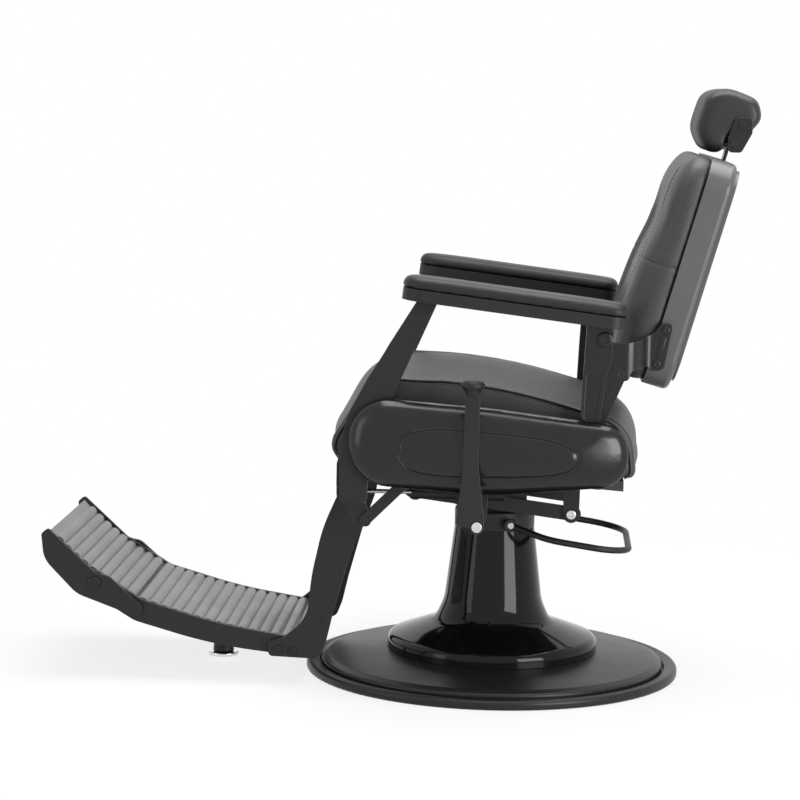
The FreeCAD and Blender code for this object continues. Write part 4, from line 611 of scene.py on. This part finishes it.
def even_crown(piece, middle, half):
    """Stretch a cover evenly from side to side: one smooth crown in each slice round the X axis."""
    places, facing = points_of(piece)
    across = np.abs(places[:, 0]) / half
    y, z = places[:, 1] - middle.y, places[:, 2] - middle.z
    angle, radius = np.arctan2(z, y), np.hypot(y, z)
    skin = (np.abs(facing[:, 0]) < END_FACING) & (across < EVEN_SPAN)
    even, weight = np.zeros(len(places)), np.zeros(len(places))
    for centre in np.linspace(-math.pi, math.pi, SLICES, endpoint=False):
        turn = (angle - centre + math.pi) % (2 * math.pi) - math.pi
        near = skin & (np.abs(turn) < SLICE_WIDTH)
        terms = crown_terms(turn[near], across[near])
        fit = np.linalg.lstsq(terms, radius[near], rcond=None)[0]
        share = 1 - np.abs(turn[near]) / SLICE_WIDTH
        even[near] += share * (terms @ fit)
        weight[near] += share
    moved = np.where(weight > 0, even / np.maximum(weight, 1e-9) - radius, 0)
    radius = radius + moved * np.clip((EVEN_SPAN - across) / EVEN_FADE, 0, 1)
    places[:, 1] = middle.y + radius * np.cos(angle)
    places[:, 2] = middle.z + radius * np.sin(angle)
    put_points(piece, places)


even_crown(seat, seat_middle, seat_high.x)
SEAT_EDGE, SEAT_EDGE_LIFT, LIFT_FROM, LIFT_FADE = 0.040, 0.011, 0.1, 0.4
places, facing = points_of(seat)
reach = np.clip((np.abs(places[:, 0]) - seat_high.x + SEAT_EDGE) / SEAT_EDGE, 0, 1)
places[:, 2] += SEAT_EDGE_LIFT * reach ** 2 * np.clip((facing[:, 2] - LIFT_FROM) / LIFT_FADE, 0, 1)
put_points(seat, places)


def welt(name, path, radius, finish, body):
    """Piping: a thin cord wrapped in the cover's own hide and sewn into a seam."""
    line = bpy.data.curves.new(name, "CURVE")
    line.dimensions = "3D"
    line.bevel_depth = radius
    line.bevel_resolution = 2
    line.use_fill_caps = True
    run = line.splines.new("POLY")
    run.points.add(len(path) - 1)
    for point, place in zip(run.points, path):
        point.co = (*place, 1)
    cord = bpy.data.objects.new(name, line)
    scene.collection.objects.link(cord)
    select_only(cord)
    bpy.ops.object.convert(target="MESH")
    bpy.ops.object.shade_smooth()
    cord = bpy.context.object
    cord.data.materials.append(finish)
    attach(cord, body)


SEAT_SEAM_INSET, SEAM_STEPS, WELT_STEP = 0.007, 700, 5
SEAT_SEAM_DEPTH, SEAT_SEAM_WIDTH, SEAT_STITCH_OFFSET, SEAT_WELT = 0.0025, 0.004, 0.007, 0.0022
seam_angles = np.linspace(math.radians(-20), math.radians(204), SEAM_STEPS)
seam_aims = [(0, math.cos(angle), math.sin(angle)) for angle in seam_angles]
for side, sign in (("left", 1), ("right", -1)):
    seam_x = sign * (seat_high.x - SEAT_SEAM_INSET)
    path, facing = land(seat, [(seam_x, seat_middle.y, seat_middle.z)] * SEAM_STEPS, seam_aims)
    groove(seat, path, SEAT_SEAM_DEPTH, SEAT_SEAM_WIDTH)
    welt(f"seat_welt_{side}", path[::WELT_STEP], SEAT_WELT, seat_leather, "seat")
    stitch_row(f"seat_stitches_{side}", path, facing, sign * SEAT_STITCH_OFFSET, "seat")
finish_pad(seat, "seat_cushion", "seat", seat_leather)


# Side panels: foam on plywood under shiny black vinyl, screwed to the arm frames from inside. A
# bullet-shaped line is pressed into the face of each, where an inlay is sewn in with thin piping.
panel_vinyl = hide("panel_vinyl_black", (0.006, 0.006, 0.0064), (0.004, 0.004, 0.0043), 0.17, 0.26,
                   grain=520.0, depth=0.06, specular=0.38)
INLAY_FRONT, INLAY_REAR, INLAY_STEPS = 0.092, 0.092, 300
INLAY_MIDDLE, INLAY_TALL_FRONT, INLAY_TALL_REAR = 0.455, 0.048, 0.034
INLAY_RISE, INLAY_FALL, INLAY_END_POWER, INLAY_TOP_POWER = 0.004, 0.008, 0.55, 0.75
INLAY_FINE_STEPS = 40 * INLAY_STEPS


def inlay_outline(low, high):
    """Bullet-shaped loop in the side view, taller at the front than behind, as even (Y, Z) points."""
    front, rear = low.y + INLAY_FRONT, high.y - INLAY_REAR
    angles = np.linspace(0, 2 * math.pi, INLAY_FINE_STEPS + 1)
    along = np.sign(np.cos(angles)) * np.abs(np.cos(angles)) ** INLAY_END_POWER
    upward = np.sign(np.sin(angles)) * np.abs(np.sin(angles)) ** INLAY_TOP_POWER
    share = (along + 1) / 2
    tall = INLAY_TALL_FRONT + share * (INLAY_TALL_REAR - INLAY_TALL_FRONT)
    y = (front + rear) / 2 + along * (rear - front) / 2
    z = INLAY_MIDDLE + INLAY_RISE - INLAY_FALL * share + upward * tall
    walked = np.concatenate([[0], np.cumsum(np.hypot(np.diff(y), np.diff(z)))])
    spots = np.linspace(0, walked[-1], INLAY_STEPS + 1)
    return list(zip(np.interp(spots, walked, y), np.interp(spots, walked, z)))


PILLOW_MARGIN, PILLOW_FALL, PILLOW_STRETCH, RIM_FACING = 0.085, 0.022, 0.6, 0.25


def pillow(panel, sign, low, high):
    """Bring a panel's face within its CAD depth, and let it fall away towards its rim as foam does."""
    places, facing = points_of(panel)
    inner, outer = (low.x, high.x) if sign > 0 else (-high.x, -low.x)
    tallest = (sign * places[:, 0]).max()
    places[:, 0] = sign * (inner + (sign * places[:, 0] - inner) * (outer - inner) / (tallest - inner))
    rim = places[np.abs(facing[:, 0]) < RIM_FACING]
    tree = KDTree(len(rim))
    for index, place in enumerate(rim):
        tree.insert((0, PILLOW_STRETCH * place[1], place[2]), index)
    tree.balance()
    for place in places:
        _, _, gap = tree.find((0, PILLOW_STRETCH * place[1], place[2]))
        depth = min(max((sign * place[0] - inner) / (outer - inner), 0), 1)
        place[0] -= sign * PILLOW_FALL * max(1 - gap / PILLOW_MARGIN, 0) ** 2 * depth
    put_points(panel, places)


INLAY_SEAM_DEPTH, INLAY_SEAM_WIDTH, INLAY_SUNK, INLAY_CORD = 0.0022, 0.005, 0.0016, 0.0013
OUTSIDE_X = 0.5
for side, sign in (("left", 1), ("right", -1)):
    node = f"side_panel_{side}"
    low, high = (Vector(corner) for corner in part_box(node))
    panel = upholster(node, f"side_cover_{side}", (-sign, 0, 0), shrink=0.003, cap=0.008, voxel=0.005)
    pillow(panel, sign, low, high)
    loop = [(sign * OUTSIDE_X, y, z) for y, z in inlay_outline(low, high)]
    path, facing = land(panel, loop, [(-sign, 0, 0)] * len(loop))
    groove(panel, path, INLAY_SEAM_DEPTH, INLAY_SEAM_WIDTH)
    sunk = [place - INLAY_SUNK * normal for place, normal in zip(path, facing)]
    welt(f"inlay_line_{side}", sunk, INLAY_CORD, panel_vinyl, "seat")
    finish_pad(panel, node, "seat", panel_vinyl)


# Armrests: a moulded base screwed to the bars, and a self-skinned urethane pad on top of it. The
# parting line between the two shows as a narrow shadow all round.
arm_skin = hide("armrest_urethane", (0.012, 0.012, 0.0125), (0.009, 0.009, 0.0095), 0.42, 0.56,
                grain=900.0, depth=0.1, specular=0.28)
dress(arm_skin, "armrest_bases", "lever_knob")
for side in ("left", "right"):
    node = f"armrest_pad_{side}"
    pad = upholster(node, f"armrest_cover_{side}", (0, 0, -1), shrink=0.0006, cap=0.003, voxel=0.004)
    finish_pad(pad, node, "seat", arm_skin)


# Back: a moulded shell with a rear panel carries the cushion. The cushion is foam under leather,
# with a recessed middle between two side bolsters, and seams where the bolsters meet it.
shell_skin = painted("shell_moulded_grey", (0.066, 0.066, 0.068), (0.08, 0.08, 0.082), 0.34, 0.46,
                     speckle=0.15)
dress(shell_skin, "back_shell", "back_panel")
back = upholster("back_cushion", "back_cover", (0, 0.9625, -0.2714), shrink=0.002, cap=0.008, voxel=0.0055)
LEAN = math.radians(15.75)
back_up = Vector((0, math.sin(LEAN), math.cos(LEAN)))
back_out = Vector((0, -math.cos(LEAN), math.sin(LEAN)))
back_foot = Vector((0, 0.312, 0.560))


def on_back(x, height, depth):
    """Point by its place across the back, its height up the back and its depth in front of the foot."""
    return back_foot + Vector((x, 0, 0)) + back_up * height + back_out * depth


BACK_REAR, BACK_DEPTH, TUCK, TUCK_DEPTH = 0.054, 0.064, 0.006, 0.012
CROWN_LIFT, CROWN_FROM, CROWN_SPAN = 0.034, 0.22, 0.18
WAIST, WAIST_HEIGHT, WAIST_SPAN = 0.012, 0.285, 0.055
LUMBAR, LUMBAR_HEIGHT, LUMBAR_SPAN = 0.005, 0.12, 0.07
places, _ = points_of(back)
offset = places - np.array(back_foot)
rise, depth = offset @ np.array(back_up), offset @ np.array(back_out)
front = np.clip((depth - BACK_REAR) / BACK_DEPTH, 0, 1)
crown = CROWN_LIFT * front ** 1.5 * np.clip((rise - CROWN_FROM) / CROWN_SPAN, 0, 1) ** 2
waist = -WAIST * front * np.exp(-((rise - WAIST_HEIGHT) / WAIST_SPAN) ** 2)
lumbar = LUMBAR * front * np.exp(-((rise - LUMBAR_HEIGHT) / LUMBAR_SPAN) ** 2)
tuck = -TUCK * (1 - np.clip((depth - BACK_REAR) / TUCK_DEPTH, 0, 1))
put_points(back, places + np.outer(crown, back_up) + np.outer(waist + lumbar + tuck, back_out))

PANEL_SCREW_X, PANEL_SCREW_HEIGHTS, PANEL_SCREW_PROUD = 0.205, (0.05, 0.21, 0.37), 0.0012
panel_spots = [(on_back(x, height, -PANEL_SCREW_PROUD), -back_out)
               for x in (-PANEL_SCREW_X, PANEL_SCREW_X) for height in PANEL_SCREW_HEIGHTS]
socket_screws("back_panel_screws", panel_spots, 0.005, 0.002, dark_bolts, "backrest")

BOLSTER_X, SEAM_LOW, SEAM_HIGH, IN_FRONT = 0.150, 0.02, 0.385, 0.4
BACK_SEAM_DEPTH, BACK_SEAM_WIDTH, BACK_STITCH_OFFSET = 0.003, 0.005, 0.006
CROSS_SEAM, CROSS_X, CROSS_IN, CROSS_STEPS = 0.213, 0.13, 0.02, SEAM_STEPS // 4
CROSS_SEAM_DEPTH, CROSS_SEAM_WIDTH, CROSS_STITCH_OFFSET = 0.0016, 0.003, 0.005
seam_heights = np.linspace(SEAM_LOW, SEAM_HIGH, SEAM_STEPS)
cross_angles = np.linspace(math.radians(78), math.radians(-8), CROSS_STEPS)
for side, sign in (("left", 1), ("right", -1)):
    starts = [on_back(sign * BOLSTER_X, float(height), IN_FRONT) for height in seam_heights]
    path, facing = land(back, starts, [-back_out] * SEAM_STEPS)
    groove(back, path, BACK_SEAM_DEPTH, BACK_SEAM_WIDTH)
    stitch_row(f"back_stitches_{side}", path, facing, sign * BACK_STITCH_OFFSET, "backrest")
    start = on_back(sign * CROSS_X, CROSS_SEAM, BACK_REAR + CROSS_IN)
    aims = [Vector((sign * math.cos(angle), 0, 0)) + back_out * math.sin(angle) for angle in cross_angles]
    path, facing = land(back, [start] * CROSS_STEPS, aims)
    groove(back, path, CROSS_SEAM_DEPTH, CROSS_SEAM_WIDTH)
    stitch_row(f"bolster_stitches_{side}", path, facing, sign * CROSS_STITCH_OFFSET, "backrest")
back_leather = hide("back_leather_black", (0.034, 0.034, 0.035), (0.019, 0.019, 0.02), 0.40, 0.55)
finish_pad(back, "back_cushion", "backrest", back_leather)


# Headrest: a bean-shaped leather pad that tilts between the ears of its yoke, on a flat steel post.
head = upholster("headrest_pad", "headrest_cover", (0, 1, 0), shrink=0.001, cap=0.004, voxel=0.004, ease=24)
head_leather = hide("headrest_leather_black", (0.012, 0.012, 0.0125), (0.008, 0.008, 0.0085), 0.44, 0.60,
                    specular=0.35)
finish_pad(head, "headrest_pad", "headrest", head_leather)


# Footrest treads: ribbed aluminium, anodised grey, with fine lines along the ribs from the rolls. A
# strip of black edging is pressed on to the front end of the longer one, and the disc of the floor
# stop under it is chromed.
def anodised():
    """Grey anodised metal with rolling lines along X."""
    finish = bpy.data.materials.new("tread_anodised_grey")
    finish.use_nodes = True
    tree = finish.node_tree
    shader = tree.nodes["Principled BSDF"]
    shader.inputs["Metallic"].default_value = 0.75
    stretch = tree.nodes.new("ShaderNodeMapping")
    stretch.inputs["Scale"].default_value = (4, 900, 900)
    lines = tree.nodes.new("ShaderNodeTexNoise")
    lines.inputs["Scale"].default_value = 1.0
    lines.inputs["Detail"].default_value = 4.0
    cloud = place_group(tree, MARKS, Scale=9.0)
    bump = tree.nodes.new("ShaderNodeBump")
    bump.inputs["Strength"].default_value = 0.15
    bump.inputs["Distance"].default_value = 0.0003
    tree.links.new(object_coordinates(tree), stretch.inputs["Vector"])
    tree.links.new(stretch.outputs["Vector"], lines.inputs["Vector"])
    tree.links.new(lines.outputs["Fac"], bump.inputs["Height"])
    tree.links.new(bump.outputs["Normal"], shader.inputs["Normal"])
    tree.links.new(ramp(tree, cloud.outputs["Mask"], 0.36, 0.52), shader.inputs["Roughness"])
    tree.links.new(tint(tree, lines.outputs["Fac"], (0.16, 0.16, 0.163), (0.22, 0.22, 0.223)),
                   shader.inputs["Base Color"])
    return finish


dress(anodised(), "main_tread", "flap_tread")
EDGING_SIZE, EDGING_PLACE, EDGING_EDGE = (0.350, 0.0044, 0.024), (0, -0.6554, 0.1409), 0.0009
EDGING_TILT = math.radians(-20.2)
edging = rounded_bar(EDGING_SIZE, EDGING_EDGE, 2)
edging.name = "tread_edging"
edging.data.transform(Matrix.Translation(EDGING_PLACE) @ Matrix.Rotation(EDGING_TILT, 4, "X"))
edging.data.materials.append(arm_skin)
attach(edging, "footrest")
chrome = steel("floor_stop_chrome", (0.75, 0.75, 0.76), 0.06, 0.14)
dress(chrome, "bumper_disc")


# Studio: pale paper on the floor and a white surround, with soft boxes above, in front and behind. The
# camera stands a little above the arms, on the lever's side.
AMBIENT = 0.4
GLOW_NEAR, GLOW_FAR = 0.7, 1.9


def studio_white(name, colour, strength):
    """Pale surface that shows white to the camera and in reflections, and keeps a soft shadow."""
    finish = bpy.data.materials.new(name)
    finish.use_nodes = True
    tree = finish.node_tree
    tree.nodes.remove(tree.nodes["Principled BSDF"])
    paper = tree.nodes.new("ShaderNodeBsdfDiffuse")
    paper.inputs["Color"].default_value = (*colour, 1)
    glow = tree.nodes.new("ShaderNodeEmission")
    mix = tree.nodes.new("ShaderNodeMixShader")
    seen = seen_rays(tree)
    share = tree.nodes.new("ShaderNodeMath")
    share.operation = "MULTIPLY"
    away = tree.nodes.new("ShaderNodeVectorMath")
    away.operation = "LENGTH"
    glow_share = tree.nodes.new("ShaderNodeMapRange")
    glow_share.inputs["From Min"].default_value = GLOW_NEAR
    glow_share.inputs["From Max"].default_value = GLOW_FAR
    glow_share.inputs["To Min"].default_value = strength
    tree.links.new(object_coordinates(tree), away.inputs[0])
    tree.links.new(away.outputs["Value"], glow_share.inputs["Value"])
    tree.links.new(glow_share.outputs["Result"], share.inputs[1])
    tree.links.new(seen, share.inputs[0])
    tree.links.new(share.outputs["Value"], mix.inputs["Fac"])
    tree.links.new(paper.outputs["BSDF"], mix.inputs[1])
    tree.links.new(glow.outputs["Emission"], mix.inputs[2])
    tree.links.new(mix.outputs["Shader"], tree.nodes["Material Output"].inputs["Surface"])
    return finish


def seen_rays(tree):
    """1 for rays from the camera, from reflections and through glass, and 0 for the rest."""
    rays = tree.nodes.new("ShaderNodeLightPath")
    total = rays.outputs["Is Camera Ray"]
    for label in ("Is Glossy Ray", "Is Transmission Ray"):
        larger = tree.nodes.new("ShaderNodeMath")
        larger.operation = "MAXIMUM"
        tree.links.new(total, larger.inputs[0])
        tree.links.new(rays.outputs[label], larger.inputs[1])
        total = larger.outputs["Value"]
    return total


bpy.ops.object.select_all(action="DESELECT")
bpy.ops.mesh.primitive_plane_add(size=16)
floor = bpy.context.object
floor.name = "studio_floor"
floor.data.materials.append(studio_white("floor_paper", (0.82, 0.82, 0.82), 0.8))

world = bpy.data.worlds.new("studio")
scene.world = world
world.use_nodes = True
sky = world.node_tree.nodes["Background"]
sky.inputs["Color"].default_value = (1, 1, 1, 1)
level = ramp(world.node_tree, seen_rays(world.node_tree), AMBIENT, 1.0)
world.node_tree.links.new(level, sky.inputs["Strength"])


def soft_box(name, place, aim, size, watts):
    """Large square lamp turned towards a point of the chair."""
    light = bpy.data.lights.new(name, "AREA")
    light.shape = "RECTANGLE"
    light.size, light.size_y = size
    light.energy = watts
    lamp = bpy.data.objects.new(name, light)
    scene.collection.objects.link(lamp)
    lamp.location = place
    lamp.rotation_euler = (Vector(aim) - Vector(place)).to_track_quat("-Z", "Y").to_euler()


soft_box("overhead_box", (0.0, 0.3, 3.0), (0, 0, 0.5), (2.2, 2.6), 110)
soft_box("front_box", (2.0, -3.0, 1.0), (0, -0.2, 0.7), (1.0, 2.0), 12)
soft_box("rear_box", (2.85, 2.7, 1.05), (0, 0.2, 0.8), (2.0, 2.1), 120)

CAMERA_PLACE = Vector((4.837, 0.079, 1.088))
YAW, PITCH, ROLL = (math.radians(angle) for angle in (3.10, 6.83, 1.08))
IMAGE_SIZE, FOCAL_PIXELS, SENSOR = 800, 2595, 36.0
ahead = Vector((-math.cos(YAW) * math.cos(PITCH), -math.sin(YAW) * math.cos(PITCH), -math.sin(PITCH)))
level_right = Vector((-math.sin(YAW), math.cos(YAW), 0))
level_up = level_right.cross(ahead)
right = math.cos(ROLL) * level_right + math.sin(ROLL) * level_up
up = -math.sin(ROLL) * level_right + math.cos(ROLL) * level_up
lens = bpy.data.cameras.new("side_camera")
lens.sensor_width = SENSOR
lens.lens = SENSOR * FOCAL_PIXELS / IMAGE_SIZE
camera = bpy.data.objects.new("side_camera", lens)
scene.collection.objects.link(camera)
camera.matrix_world = Matrix.Translation(CAMERA_PLACE) @ Matrix((right, up, -ahead)).transposed().to_4x4()
scene.camera = camera
